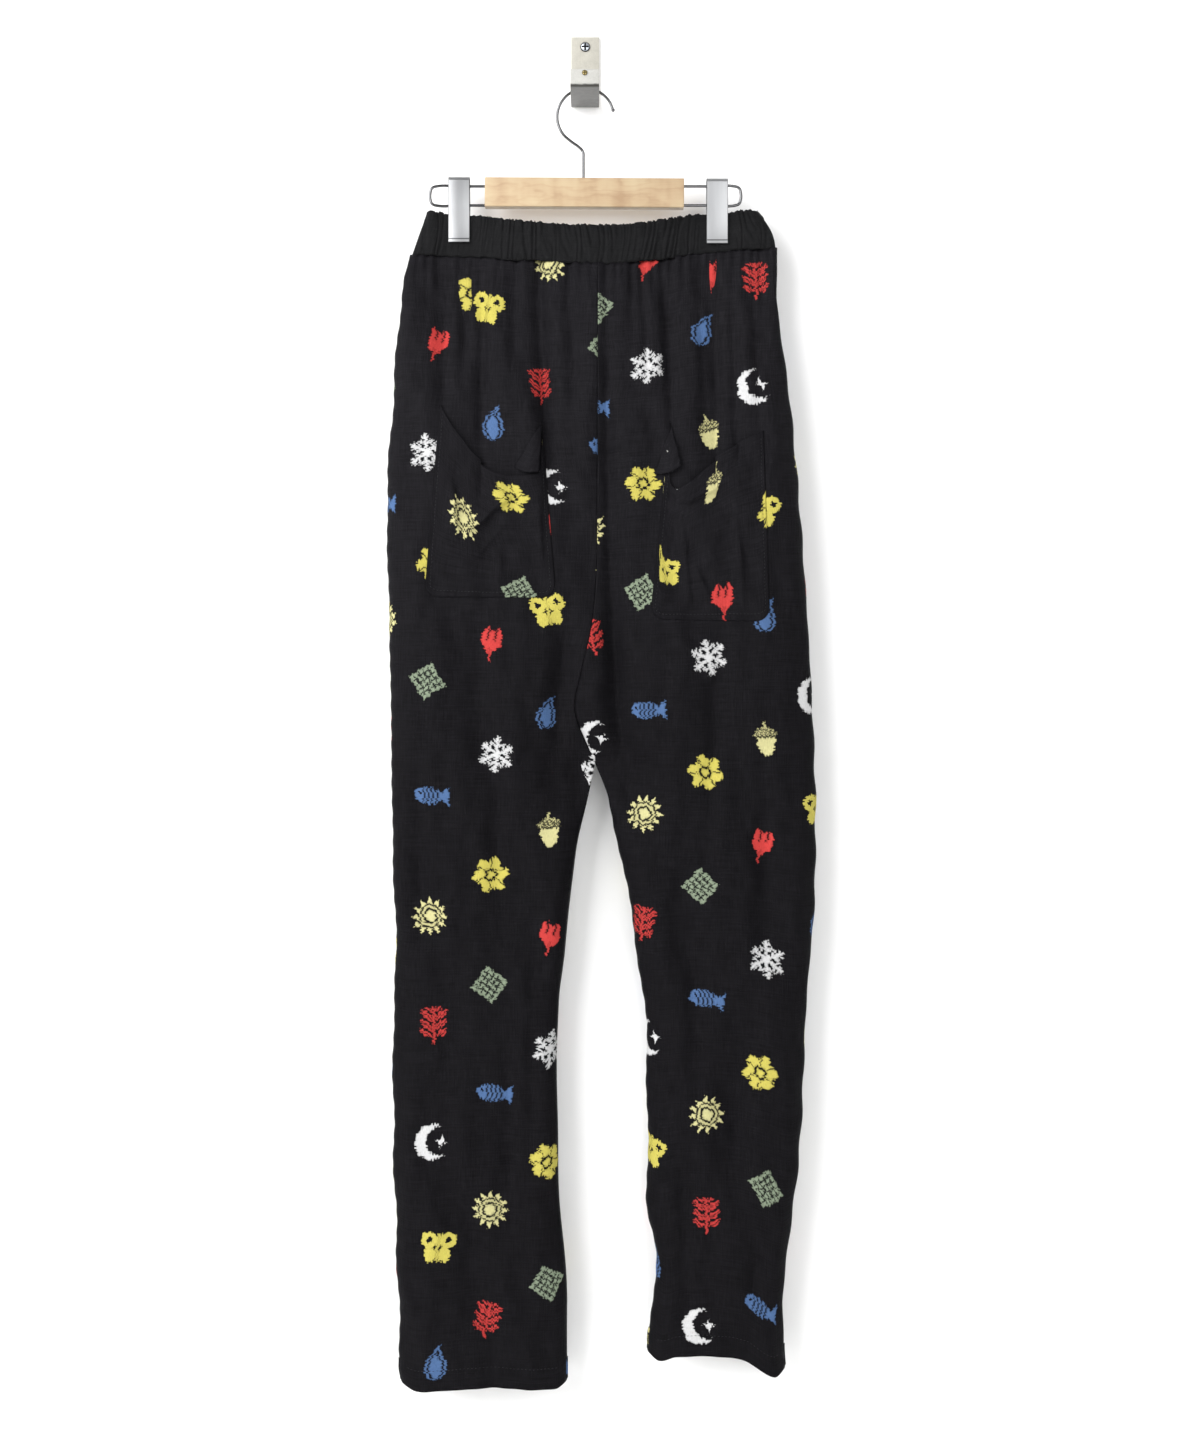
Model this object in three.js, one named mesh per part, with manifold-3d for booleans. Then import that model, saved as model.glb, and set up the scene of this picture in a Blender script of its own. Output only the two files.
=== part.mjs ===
// Harem pants on a clip hanger, which hangs on a hook screwed to a wall.
// Millimetres. +Z is up, the front of the garment faces -Y, and the wall is the plane Y = 0.
// The origin is the middle of the hook's back, where it meets the wall.
// Left and right are as seen from the front. The cloth is a closed wall of its real shape:
// two fronts, two backs, a gathered waistband and two patch pockets.
import * as THREE from "three";
import { mergeVertices } from "three/addons/utils/BufferGeometryUtils.js";
import Module from "manifold-3d";

const wasm = await Module();
wasm.setup();

// Driving dimensions
const GAP = 0.3; // between pieces that touch or are sewn together
const CLOTH = 1.2; // thickness of one layer of cloth
const HEM_FOLD = 2.2; // thickness where the hem is turned up
const HEM_START = 1.7; // thickness where the turn-up ends
const HEM_TALL = 20;
const HANG_Y = -30; // the hanger's plane, midway through the garment
const CROTCH_Z = -613.5;
const CROTCH_X = 8.8;
const BODY_ROWS = 14;
const LEG_ROWS = 14;
// Each panel is made in four lengths, so that simple blocks can follow its bend
const LENGTHS = [
  { name: "top", from: 0, to: 7 },
  { name: "hip", from: 7, to: 14 },
  { name: "knee", from: 14, to: 21 },
  { name: "shin", from: 21, to: 29 },
];
const SHORTEST = 436; // from the waist seam to the crotch, the length of one step of down
const FRONT_GATHERS = 9; // small pleats under the waistband, for each half
const BACK_GATHERS = 7;
const GATHER_DEEP = 1.5;
const GATHER_LONG = 55;
const CROWDING = 0.35; // how much closer the columns lie at the seams
const SETTLES = 150; // below the waist seam, where the cloth reaches its full depth
const TURN_TOP = 0.06; // share of a panel's width that turns in at its side, at the top
const TURN = 0.24; // and lower down
const VALLEY = 0.4; // share of a panel's width that dips towards the centre seam
const FOLD_TOP = 0.45; // share of a fold's depth that is left at the waist seam

const BAND_WALL = 1.3;
const BAND_GATHERS = 80; // all round
const BAND_RIPPLE = 1.3;
const BAND_RUFFLE = 0.9; // rise and fall of its top edge
const PRESSED = 0.3; // share of the ripple that is left under the jaws
const BAND_PINCHED = 2.6; // half thickness of the two layers between a clip's jaws
const PINCH_REACH = 10.5; // half the width that the jaws hold flat
const BAND_ENDS = { left: -151.8, leftIn: 13.3, right: 166.6, rightIn: 15.6 };
const BAND_TURN = 9; // radius of the turn at its two ends
const BAND_OPEN = 9; // how far the middle of the band stands off the hanger's plane

const CLIPS = { left: { x: -110, z: -101.6 }, right: { x: 115.5, z: -102.8 } };
const CLIP = {
  wide: 18.6, tall: 57.2, sheet: 1, top: 4.2, lip: 3, flare: 0.9, grip: 25, shoulder: 22,
};
const WIRE = { radius: 1.2, sides: 8 };
const FRAME = { left: -135.2, right: 136.2, high: -109, low: -125.7, corner: 5 };
const SOCKET = 12; // depth of the wires' holes in the bar
const BAR = { wide: 174, tall: 25.4, thick: 11, z: -115.4, round: 3, bevel: 1.2, tilt: 0.35 };
const HOOK = { radius: 24.8, x: 0.5, z: -48.2, from: 14, to: 236, step: 18.5 };
// The hook's neck, from the end of its arc to the straight shaft
const NECK = [{ x: -3.6, z: -75.8 }, { x: -1.4, z: -81.7 }, { x: -1.4, z: -90 }];
const BRACKET = { wide: 25, sheet: 2.4, top: 31.4, under: -31.5, reach: 62.7, lip: -17.2, bend: 4 };
const SCREWS = {
  wall: { z: 22.5, radius: 4.4, head: 2.1, shank: 2, y: -BRACKET.sheet, cross: 3.2 },
  lip: { z: -20.4, radius: 2.4, head: 1.2, shank: 1.1, y: -BRACKET.reach, cross: 1.8 },
};

// The outer side seam of each half, from the waist seam to the hem
const LEFT_SIDE = [
  { z: -168, x: -153 },
  { z: -208, x: -161 },
  { z: -296, x: -168 },
  { z: -385, x: -173.3 },
  { z: -540, x: -170.3 },
  { z: -700, x: -168 },
  { z: -777, x: -165.4 },
  { z: -850, x: -168 },
  { z: -955, x: -167.4 },
  { z: -1030, x: -165 },
  { z: -1158, x: -161 },
];
const RIGHT_SIDE = [
  { z: -162, x: 168.2 },
  { z: -208, x: 168.2 },
  { z: -296, x: 179.4 },
  { z: -383, x: 187.3 },
  { z: -515, x: 196 },
  { z: -646, x: 201.3 },
  { z: -733, x: 200.4 },
  { z: -820, x: 193.4 },
  { z: -952, x: 187.3 },
  { z: -1083, x: 172.8 },
  { z: -1145, x: 175.2 },
];
// The centre seams of the body, and the inseams of the legs
const FRONT_CENTRE = [
  { z: -177, x: 11.4 },
  { z: -436, x: 10.5 },
  { z: -493, x: 6 },
  { z: -534, x: -3 },
  { z: -566, x: -9 },
  { z: CROTCH_Z, x: CROTCH_X },
];
const BACK_CENTRE = [
  { z: -177, x: 11.4 },
  { z: -400, x: 12 },
  { z: CROTCH_Z, x: CROTCH_X },
];
const LEFT_INSEAM = [
  { z: CROTCH_Z, x: CROTCH_X },
  { z: -646, x: 1.8 },
  { z: -690, x: -8.5 },
  { z: -777, x: -16.6 },
  { z: -821, x: -22.8 },
  { z: -908, x: -24 },
  { z: -996, x: -21.4 },
  { z: -1083, x: -15.8 },
  { z: -1157, x: -17 },
];
const RIGHT_INSEAM = [
  { z: CROTCH_Z, x: CROTCH_X },
  { z: -646, x: 20.8 },
  { z: -711, x: 34.1 },
  { z: -777, x: 45.5 },
  { z: -864, x: 54.3 },
  { z: -996, x: 54.3 },
  { z: -1040, x: 61.3 },
  { z: -1083, x: 59.5 },
  { z: -1130, x: 54.3 },
];
// Heights along the waist: the seam under the band, and the band's ruffled top edge
const WAIST_SEAM = [
  { x: -153, z: -168.1 },
  { x: -92, z: -170.7 },
  { x: -35, z: -175 },
  { x: 12, z: -177 },
  { x: 50, z: -175 },
  { x: 100, z: -167 },
  { x: 168, z: -162 },
];
const BAND_TOP = [
  { x: -139, z: -133 },
  { x: -100, z: -135.5 },
  { x: -40, z: -143.3 },
  { x: 15, z: -145.4 },
  { x: 60, z: -142 },
  { x: 100, z: -135 },
  { x: 151, z: -131.4 },
];
// The hem line of each leg, by share of the width from the side seam to the inseam
const LEFT_HEM = [
  { across: 0, z: -1156 },
  { across: 0.13, z: -1163 },
  { across: 0.5, z: -1158 },
  { across: 0.9, z: -1160.5 },
  { across: 1, z: -1154.5 },
];
const RIGHT_HEM = [
  { across: 0, z: -1143.5 },
  { across: 0.08, z: -1150 },
  { across: 0.3, z: -1136 },
  { across: 0.55, z: -1130.5 },
  { across: 0.8, z: -1131.5 },
  { across: 0.9, z: -1136 },
  { across: 1, z: -1129 },
];
// How far the cloth stands in front of and behind the hanger's plane, and how much of that
// is kept at the centre seam: none at the crotch, where front and back meet
const DEPTH = [
  { z: -165, front: 10, back: 9, centre: 1 },
  { z: -260, front: 17, back: 15, centre: 0.98 },
  { z: -400, front: 21, back: 20, centre: 0.94 },
  { z: -520, front: 22, back: 21, centre: 0.85 },
  { z: -580, front: 21, back: 20, centre: 0.55 },
  { z: CROTCH_Z, front: 20, back: 19, centre: 0 },
  { z: -760, front: 18, back: 17, centre: 0 },
  { z: -1000, front: 17, back: 16, centre: 0 },
  { z: -1160, front: 15, back: 14, centre: 0 },
];
// The largest folds: a trough runs from one end to the other, bowed sideways at its middle
const FRONT_FOLDS = [
  { x: -123, z: -172, toX: -124, toZ: -312, bow: 2, wide: 9, deep: 4 },
  { x: -88, z: -172, toX: -86, toZ: -270, bow: 0, wide: 8, deep: 3 },
  { x: -36, z: -174, toX: -30, toZ: -375, bow: -3, wide: 10, deep: 4.5 },
  { x: 46, z: -174, toX: 52, toZ: -232, bow: 0, wide: 8, deep: 3 },
  { x: 72, z: -250, toX: 70, toZ: -330, bow: 0, wide: 9, deep: 3 },
  { x: 112, z: -168, toX: 113, toZ: -375, bow: 2, wide: 10, deep: 4.5 },
  { x: 143, z: -165, toX: 150, toZ: -300, bow: 0, wide: 9, deep: 3.5 },
  { x: 21, z: -262, toX: 22, toZ: -460, bow: -1, wide: 10, deep: 6 },
  { x: 21, z: -415, toX: 40, toZ: -665, bow: -3, wide: 10, deep: 7 },
  { x: -10, z: -462, toX: -26, toZ: -610, bow: -2, wide: 11, deep: 6 },
  { x: -94, z: -480, toX: -90, toZ: -650, bow: 3, wide: 13, deep: 4 },
  { x: 121, z: -490, toX: 108, toZ: -700, bow: -3, wide: 14, deep: 4 },
  { x: -146, z: -590, toX: -144, toZ: -830, bow: 2, wide: 11, deep: 4 },
  { x: -82, z: -620, toX: -72, toZ: -850, bow: 4, wide: 13, deep: 4.5 },
  { x: -121, z: -770, toX: -120, toZ: -940, bow: -3, wide: 12, deep: 4 },
  { x: -70, z: -850, toX: -66, toZ: -1040, bow: 3, wide: 12, deep: 4 },
  { x: -42, z: -700, toX: -44, toZ: -960, bow: -4, wide: 10, deep: 3.5 },
  { x: -110, z: -980, toX: -84, toZ: -1120, bow: 4, wide: 14, deep: 3.5 },
  { x: 150, z: -560, toX: 158, toZ: -820, bow: 4, wide: 13, deep: 4 },
  { x: 92, z: -690, toX: 98, toZ: -900, bow: -3, wide: 13, deep: 4.5 },
  { x: 131, z: -820, toX: 124, toZ: -1010, bow: 3, wide: 12, deep: 4 },
  { x: 84, z: -960, toX: 92, toZ: -1110, bow: -2, wide: 11, deep: 4 },
  { x: 148, z: -1010, toX: 138, toZ: -1150, bow: 2, wide: 10, deep: 4 },
];
const BACK_FOLDS = [
  { x: -112, z: -172, toX: -106, toZ: -345, bow: 3, wide: 12, deep: 4.5 },
  { x: -52, z: -174, toX: -60, toZ: -300, bow: 0, wide: 11, deep: 4 },
  { x: 62, z: -172, toX: 66, toZ: -330, bow: 2, wide: 12, deep: 4.5 },
  { x: 118, z: -168, toX: 126, toZ: -300, bow: -2, wide: 12, deep: 4 },
  { x: -20, z: -330, toX: -34, toZ: -640, bow: 4, wide: 14, deep: 6 },
  { x: 44, z: -380, toX: 52, toZ: -690, bow: -4, wide: 14, deep: 6 },
  { x: -118, z: -420, toX: -112, toZ: -700, bow: 5, wide: 15, deep: 4.5 },
  { x: 138, z: -430, toX: 132, toZ: -720, bow: -4, wide: 15, deep: 4.5 },
  { x: -84, z: -680, toX: -92, toZ: -960, bow: 4, wide: 13, deep: 4 },
  { x: 118, z: -700, toX: 112, toZ: -960, bow: -4, wide: 13, deep: 4 },
  { x: -112, z: -940, toX: -100, toZ: -1130, bow: 3, wide: 13, deep: 3.5 },
  { x: 104, z: -930, toX: 116, toZ: -1110, bow: 3, wide: 13, deep: 3.5 },
];
// Patch pockets, as corners on the front. The mouth droops between its two corners.
const POCKETS = {
  left: {
    outTop: [-125.5, -303], inTop: [-38.5, -317], outLow: [-139, -470], inLow: [-24.5, -470],
    droop: [{ across: 0, z: 0 }, { across: 0.2, z: -24 }, { across: 0.55, z: -53 },
      { across: 0.93, z: -47 }, { across: 1, z: 0 }],
    stand: 13,
  },
  right: {
    outTop: [155, -326], inTop: [73, -318], outLow: [160, -491], inLow: [56, -489],
    droop: [{ across: 0, z: 0 }, { across: 0.3, z: -15 }, { across: 0.6, z: -38 },
      { across: 0.85, z: -58 }, { across: 0.94, z: -52 }, { across: 1, z: 0 }],
    stand: 13,
  },
};
const POCKET = { columns: 12, rows: 9, wall: 1.2, gap: 0.5, corner: 13, mouth: 95 };

const COLOURS = {
  cloth: [0x202024, 0.85, 0],
  band: [0x17171a, 0.9, 0],
  steel: [0xc9cbce, 0.25, 1],
  wood: [0xe6cba4, 0.5, 0],
  enamel: [0xe4e0d2, 0.45, 0],
  brass: [0xa58a4a, 0.35, 1],
};

// Values between rows
const mix = (a, b, share) => a + (b - a) * share;
const clamp = (value, low = 0, high = 1) => Math.min(high, Math.max(low, value));
const smooth = (share) => {
  const t = clamp(share);
  return t * t * (3 - 2 * t);
};

// A quarter circle's height over its width, which turns a panel's edge in
const arc = (share) => Math.sqrt(1 - (1 - clamp(share)) ** 2);

// Reads one column of a table at a place along another, on a smooth curve through its rows
function read(table, along, at, column) {
  const rows = table[0][along] < table.at(-1)[along] ? table : [...table].reverse();
  const place = clamp(at, rows[0][along], rows.at(-1)[along]);
  const last = rows.length - 1;
  let k = rows.findIndex((row) => row[along] >= place);
  k = clamp(k, 1, last);
  const slope = (n) => {
    const a = rows[Math.max(n - 1, 0)];
    const b = rows[Math.min(n + 1, last)];
    return (b[column] - a[column]) / (b[along] - a[along]);
  };
  const [a, b] = [rows[k - 1], rows[k]];
  const span = b[along] - a[along];
  const t = (place - a[along]) / span;
  const rise = (b[column] - a[column]) / span;
  const bend = (n) => clamp(slope(n), Math.min(0, 2.5 * rise), Math.max(0, 2.5 * rise));
  const [p, q] = [bend(k - 1) * span, bend(k) * span];
  const [t2, t3] = [t * t, t * t * t];
  return (2 * t3 - 3 * t2 + 1) * a[column] + (t3 - 2 * t2 + t) * p
    + (3 * t2 - 2 * t3) * b[column] + (t3 - t2) * q;
}

// Half thickness of the gathered band: pinched at the clips, open between them
function bandDepth(x) {
  const [from, to] = [CLIPS.left.x + PINCH_REACH, CLIPS.right.x - PINCH_REACH];
  if (x > from && x < to) {
    const share = (x - from) / (to - from);
    return mix(BAND_PINCHED, BAND_OPEN, Math.sin(Math.PI * share) ** 1.3);
  }
  const away = x < from ? from - x : x - to;
  return BAND_PINCHED + 1.6 * smooth((away - 2 * PINCH_REACH) / 16);
}

// Depth that the troughs take away from the cloth at a place
function foldDepth(folds, x, z) {
  let sum = 0;
  for (const f of folds) {
    const t = (z - f.z) / (f.toZ - f.z);
    if (t <= 0 || t >= 1) continue;
    const line = mix(f.x, f.toX, t) + f.bow * 4 * t * (1 - t);
    const off = (x - line) / f.wide;
    sum += f.deep * Math.exp(-off * off) * Math.sin(Math.PI * t) ** 0.7;
  }
  return sum;
}

// One half of the front or back. across runs from the side seam (0) to the centre seam or
// inseam (1); down runs from the waist seam (0) to the crotch (1) and the hem (2).
class Panel {
  constructor(half, face) {
    const left = half === "left";
    const front = face === "front";
    this.inward = left ? 1 : -1;
    this.outward = front ? -1 : 1;
    this.side = left ? LEFT_SIDE : RIGHT_SIDE;
    this.centre = front ? FRONT_CENTRE : BACK_CENTRE;
    this.inseam = left ? LEFT_INSEAM : RIGHT_INSEAM;
    this.hem = left ? LEFT_HEM : RIGHT_HEM;
    this.folds = front ? FRONT_FOLDS : BACK_FOLDS;
    this.gathers = front ? FRONT_GATHERS : BACK_GATHERS;
    this.columns = 2 * this.gathers;
    this.face = face;
    this.downs = [];
    for (let j = 0; j <= BODY_ROWS; j++) this.downs.push(j / BODY_ROWS);
    const legLong = CROTCH_Z - this.hem[2].z;
    this.hemStart = 2 - HEM_TALL / legLong;
    for (let j = 1; j <= LEG_ROWS; j++) this.downs.push(mix(1, this.hemStart, j / LEG_ROWS));
    this.downs.push(2);
  }
  // Columns lie closer together near the seams, where the cloth turns
  columnAt(i) {
    const t = i / this.columns;
    return t - (CROWDING * Math.sin(2 * Math.PI * t)) / (2 * Math.PI);
  }
  height(across, down) {
    const topX = mix(this.side[0].x, FRONT_CENTRE[0].x, across);
    const top = read(WAIST_SEAM, "x", topX, "z");
    if (down <= 1) return mix(top, CROTCH_Z, down);
    return mix(CROTCH_Z, read(this.hem, "across", across, "z"), down - 1);
  }
  edges(down) {
    const outZ = this.height(0, down);
    const inZ = this.height(1, down);
    return [
      read(this.side, "z", outZ, "x"),
      read(down <= 1 ? this.centre : this.inseam, "z", inZ, "x"),
    ];
  }
  // A point of the outer surface, without the seam gaps
  point(across, down) {
    const z = this.height(across, down);
    const [outX, inX] = this.edges(down);
    const x = mix(outX, inX, across);
    const top = this.height(across, 0);
    const settled = smooth((top - z) / SETTLES);
    const full = read(DEPTH, "z", z, this.face);
    const outer = arc(across / mix(TURN_TOP, TURN, settled));
    const kept = down <= 1 ? read(DEPTH, "z", this.height(1, down), "centre") : 0;
    const inner = mix(arc((1 - across) / TURN), 1, smooth(kept));
    const middle = down <= 1 ? mix(kept, 1, smooth((1 - across) / VALLEY)) : 1;
    const gather = GATHER_DEEP * Math.cos(2 * Math.PI * this.gathers * this.stepAt(across));
    const gathered = gather * Math.exp(-(top - z) / GATHER_LONG) * smooth(12 * (1 - across));
    const cloth = mix(bandDepth(x) + 2 * GAP, full * middle, settled) + gathered;
    const fold = foldDepth(this.folds, x, z) * mix(FOLD_TOP, 1, settled);
    const off = Math.max((cloth - fold) * outer * inner, 0);
    return new THREE.Vector3(x, HANG_Y + this.outward * off, z);
  }
  // The even step along the columns that lands on a share of the width
  stepAt(across) {
    let t = across;
    for (let n = 0; n < 6; n++) {
      t = across + (CROWDING * Math.sin(2 * Math.PI * t)) / (2 * Math.PI);
    }
    return t;
  }
  outerPoint(across, down) {
    const p = this.point(across, down);
    const half = GAP / 2;
    const off = Math.abs(p.y - HANG_Y);
    p.y = HANG_Y + this.outward * Math.max(off, half);
    if (across >= 1 && down <= 1) p.x -= this.inward * half;
    return p;
  }
  // The way from the outer surface to the inner one
  wallWay(across, down) {
    const p = this.point(across, down);
    if (across <= 0) return new THREE.Vector3(this.inward, 0, 0);
    if (across >= 1) {
      const off = Math.abs(p.y - HANG_Y);
      const share = down < 1 ? clamp((off - 1.5) / 4) : 0;
      return new THREE.Vector3(-this.inward * (1 - share), -this.outward * share, 0).normalize();
    }
    const step = 0.004;
    const a = this.point(clamp(across - step), down);
    const b = this.point(clamp(across + step), down);
    const c = this.point(across, Math.max(down - step, 0));
    const d = this.point(across, Math.min(down + step, 2));
    const way = b.sub(a).cross(d.sub(c)).normalize();
    return way.y * this.outward > 0 ? way.negate() : way;
  }
  // The rows of one length, which stops half a gap short of the next one
  rowsOf({ from, to }) {
    const rows = this.downs.slice(from, to + 1);
    const short = GAP / 2 / SHORTEST;
    if (from > 0) rows[0] += short;
    if (to < this.downs.length - 1) rows[rows.length - 1] -= short;
    return rows;
  }
  thickAt(down) {
    if (down >= 2) return HEM_FOLD;
    return down >= this.hemStart ? HEM_START : CLOTH;
  }
  grid(rows = this.downs) {
    const outer = [];
    const inner = [];
    rows.forEach((down) => {
      for (let i = 0; i <= this.columns; i++) {
        const across = this.columnAt(i);
        const thick = this.thickAt(down);
        const p = this.outerPoint(across, down);
        const q = p.clone().addScaledVector(this.wallWay(across, down), thick);
        q.y = HANG_Y + this.outward * Math.max(this.outward * (q.y - HANG_Y), GAP / 2);
        outer.push(p);
        inner.push(q);
      }
    });
    return { outer, inner };
  }
  solid(length) {
    const flip = this.inward * this.outward > 0;
    const rows = this.rowsOf(length);
    return wall(this.grid(rows), this.columns, rows.length - 1, false, flip);
  }
}

// A closed wall from two grids of points: outer face, inner face and the rims between them.
// A ring's last column joins its first.
function wall({ outer, inner }, columns, rows, ring, flip) {
  const across = ring ? columns : columns + 1;
  const offset = outer.length;
  const at = (i, j) => j * across + (ring ? i % columns : i);
  const faces = [];
  const quad = (a, b, c, d) => faces.push(...(flip ? [a, c, b, a, d, c] : [a, b, c, a, c, d]));
  for (let j = 0; j < rows; j++) {
    for (let i = 0; i < columns; i++) {
      const [a, b, c, d] = [at(i, j), at(i, j + 1), at(i + 1, j + 1), at(i + 1, j)];
      quad(a, b, c, d);
      quad(d + offset, c + offset, b + offset, a + offset);
    }
  }
  for (let i = 0; i < columns; i++) {
    quad(at(i + 1, 0), at(i + 1, 0) + offset, at(i, 0) + offset, at(i, 0));
    quad(at(i, rows), at(i, rows) + offset, at(i + 1, rows) + offset, at(i + 1, rows));
  }
  for (let j = 0; !ring && j < rows; j++) {
    quad(at(0, j), at(0, j) + offset, at(0, j + 1) + offset, at(0, j + 1));
    const k = columns;
    quad(at(k, j + 1), at(k, j + 1) + offset, at(k, j) + offset, at(k, j));
  }
  const geometry = new THREE.BufferGeometry().setFromPoints([...outer, ...inner]);
  geometry.setIndex(faces);
  geometry.computeVertexNormals();
  return geometry;
}

// The gathered waistband, one ring with a ruffled top edge
function waistband() {
  const columns = 2 * BAND_GATHERS;
  const rows = [1, 0.8, 0.12, 0];
  const swell = [1.25, 0.75, 1, 0.35];
  const outer = [];
  const inner = [];
  rows.forEach((up, j) => {
    const leftX = BAND_ENDS.left + BAND_ENDS.leftIn * up;
    const rightX = BAND_ENDS.right - BAND_ENDS.rightIn * up * up;
    for (let i = 0; i < columns; i++) {
      const turn = (2 * i) / columns;
      const front = turn < 1;
      const share = front ? turn : 2 - turn;
      const x = mix(leftX, rightX, share);
      const end = Math.min(x - leftX, rightX - x);
      const low = read(WAIST_SEAM, "x", x, "z") + GAP;
      const high = read(BAND_TOP, "x", x, "z");
      const nearClip = Math.min(Math.abs(x - CLIPS.left.x), Math.abs(x - CLIPS.right.x));
      const free = mix(PRESSED, 1, smooth((nearClip - PINCH_REACH) / 12));
      const crest = i % 2 ? 1 : 0;
      const ripple = crest * BAND_RIPPLE * swell[j] * free;
      const z = mix(low, high, up) + (up === 1 ? (crest - 0.5) * BAND_RUFFLE : 0);
      const way = new THREE.Vector3(0, front ? -1 : 1, 0);
      if (end < 0.01) way.set(share > 0.5 ? 1 : -1, 0, 0);
      const depth = bandDepth(x) * arc(end / BAND_TURN);
      const base = new THREE.Vector3(x, HANG_Y, z);
      if (end >= 0.01) base.addScaledVector(way, depth);
      outer.push(base.clone().addScaledVector(way, ripple));
      inner.push(base.clone().addScaledVector(way, -BAND_WALL));
    }
  });
  return wall({ outer, inner }, columns, rows.length - 1, true, false);
}

// Finds where a place seen from the front lies on a panel
function placeOn(panel, x, z) {
  let [across, down] = [0.5, 0.5];
  for (let n = 0; n < 12; n++) {
    const top = panel.height(across, 0);
    down = (z - top) / (CROTCH_Z - top);
    const [outX, inX] = panel.edges(down);
    across = clamp((x - outX) / (inX - outX));
  }
  return [across, down];
}

// A point of the panel's faceted outer surface, and the way out of it
function onFacets(panel, grid, across, down) {
  const columns = panel.columns;
  const step = clamp(panel.stepAt(across) * columns, 0, columns - 1e-6);
  const i = Math.floor(step);
  const row = clamp(down * BODY_ROWS, 0, BODY_ROWS - 1e-6);
  const j = Math.floor(row);
  const left = panel.columnAt(i);
  const a = (across - left) / (panel.columnAt(i + 1) - left);
  const b = row - j;
  const at = (m, n) => grid.outer[(j + n) * (columns + 1) + i + m].clone();
  const [p, q, r, s] = [at(0, 0), at(1, 0), at(0, 1), at(1, 1)];
  const point = a > b
    ? p.clone().addScaledVector(q.clone().sub(p), a - b).addScaledVector(s.clone().sub(p), b)
    : p.clone().addScaledVector(r.clone().sub(p), b - a).addScaledVector(s.clone().sub(p), a);
  return [point, panel.wallWay(across, down).negate()];
}

// A patch pocket: the panel's own points moved out, its mouth drooping open
function pocket(half, panel) {
  const shape = POCKETS[half];
  const grid = panel.grid();
  const { columns, rows, wall: thick, gap, corner, mouth } = POCKET;
  const outer = [];
  const inner = [];
  for (let j = 0; j <= rows; j++) {
    for (let i = 0; i <= columns; i++) {
      const across = i / columns;
      const fall = j / rows;
      const droop = read(shape.droop, "across", across, "z");
      const topZ = mix(shape.outTop[1], shape.inTop[1], across) + droop;
      const nearSide = Math.min(across, 1 - across) * Math.abs(shape.inLow[0] - shape.outLow[0]);
      const cut = corner * (1 - arc(nearSide / corner));
      const z = mix(topZ, mix(shape.outLow[1], shape.inLow[1], across) + cut, fall);
      const sideShare = (z - shape.outTop[1]) / (shape.outLow[1] - shape.outTop[1]);
      const outX = mix(shape.outTop[0], shape.outLow[0], sideShare);
      const inX = mix(shape.inTop[0], shape.inLow[0], sideShare);
      const [s, d] = placeOn(panel, mix(outX, inX, across), z);
      const [point, way] = onFacets(panel, grid, s, d);
      const open = smooth(1 - (topZ - z) / mouth) * Math.sin(Math.PI * clamp(across)) ** 0.8;
      point.addScaledVector(way, gap + shape.stand * open * (1 - fall));
      inner.push(point);
      outer.push(point.clone().addScaledVector(way, thick));
    }
  }
  return wall({ outer, inner }, columns, rows, false, half === "right");
}

// manifold-3d only joins and cuts
function toSolid(geometry) {
  const plain = geometry.clone();
  plain.deleteAttribute("normal");
  plain.deleteAttribute("uv");
  const merged = mergeVertices(plain, 1e-4);
  return new wasm.Manifold(new wasm.Mesh({
    numProp: 3,
    vertProperties: merged.attributes.position.array,
    triVerts: new Uint32Array(merged.index.array),
  }));
}

function fromSolid(solid) {
  const mesh = solid.getMesh();
  const geometry = new THREE.BufferGeometry();
  geometry.setAttribute("position", new THREE.BufferAttribute(mesh.vertProperties, 3));
  geometry.setIndex(new THREE.BufferAttribute(mesh.triVerts, 1));
  geometry.computeVertexNormals();
  return geometry;
}

const cut = (body, ...tools) => fromSolid(
  tools.reduce((left, tool) => left.subtract(toSolid(tool)), toSolid(body)),
);

// A shape drawn in the Y-Z plane and extruded along X, centred on x
function extrudeAlongX(shape, wide, x) {
  const geometry = new THREE.ExtrudeGeometry(shape, {
    depth: wide, bevelEnabled: false, curveSegments: 5,
  });
  geometry.translate(0, 0, -wide / 2);
  const turn = new THREE.Matrix4().makeBasis(
    new THREE.Vector3(0, 1, 0), new THREE.Vector3(0, 0, 1), new THREE.Vector3(1, 0, 0),
  );
  return geometry.applyMatrix4(turn).translate(x, 0, 0);
}

function wireAlong(points, steps, radius = WIRE.radius) {
  const section = new THREE.Shape();
  for (let k = 0; k <= WIRE.sides; k++) {
    const turn = (2 * Math.PI * k) / WIRE.sides;
    const [u, w] = [radius * Math.cos(turn), radius * Math.sin(turn)];
    if (k) section.lineTo(u, w);
    else section.moveTo(u, w);
  }
  const path = new THREE.CatmullRomCurve3(points, false, "centripetal");
  return new THREE.ExtrudeGeometry(section, { steps, extrudePath: path, bevelEnabled: false });
}

const inPlane = (x, z) => new THREE.Vector3(x, HANG_Y, z);

// The wire loop at one end of the bar, which the clip slides on
function frameLoop(out) {
  const way = Math.sign(-out);
  const start = -way * (BAR.wide / 2 + 1 - SOCKET);
  const { high, low, corner } = FRAME;
  const bow = corner * (1 - Math.SQRT1_2);
  const half = [
    [start, 0], [out + way * 5 * corner, 0], [out + way * corner, 0], [out + way * bow, bow],
    [out, corner],
  ];
  const points = [
    ...half.map(([x, in_]) => inPlane(x, high - in_)),
    ...half.reverse().map(([x, in_]) => inPlane(x, low + in_)),
  ];
  return wireAlong(points, 32);
}

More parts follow.
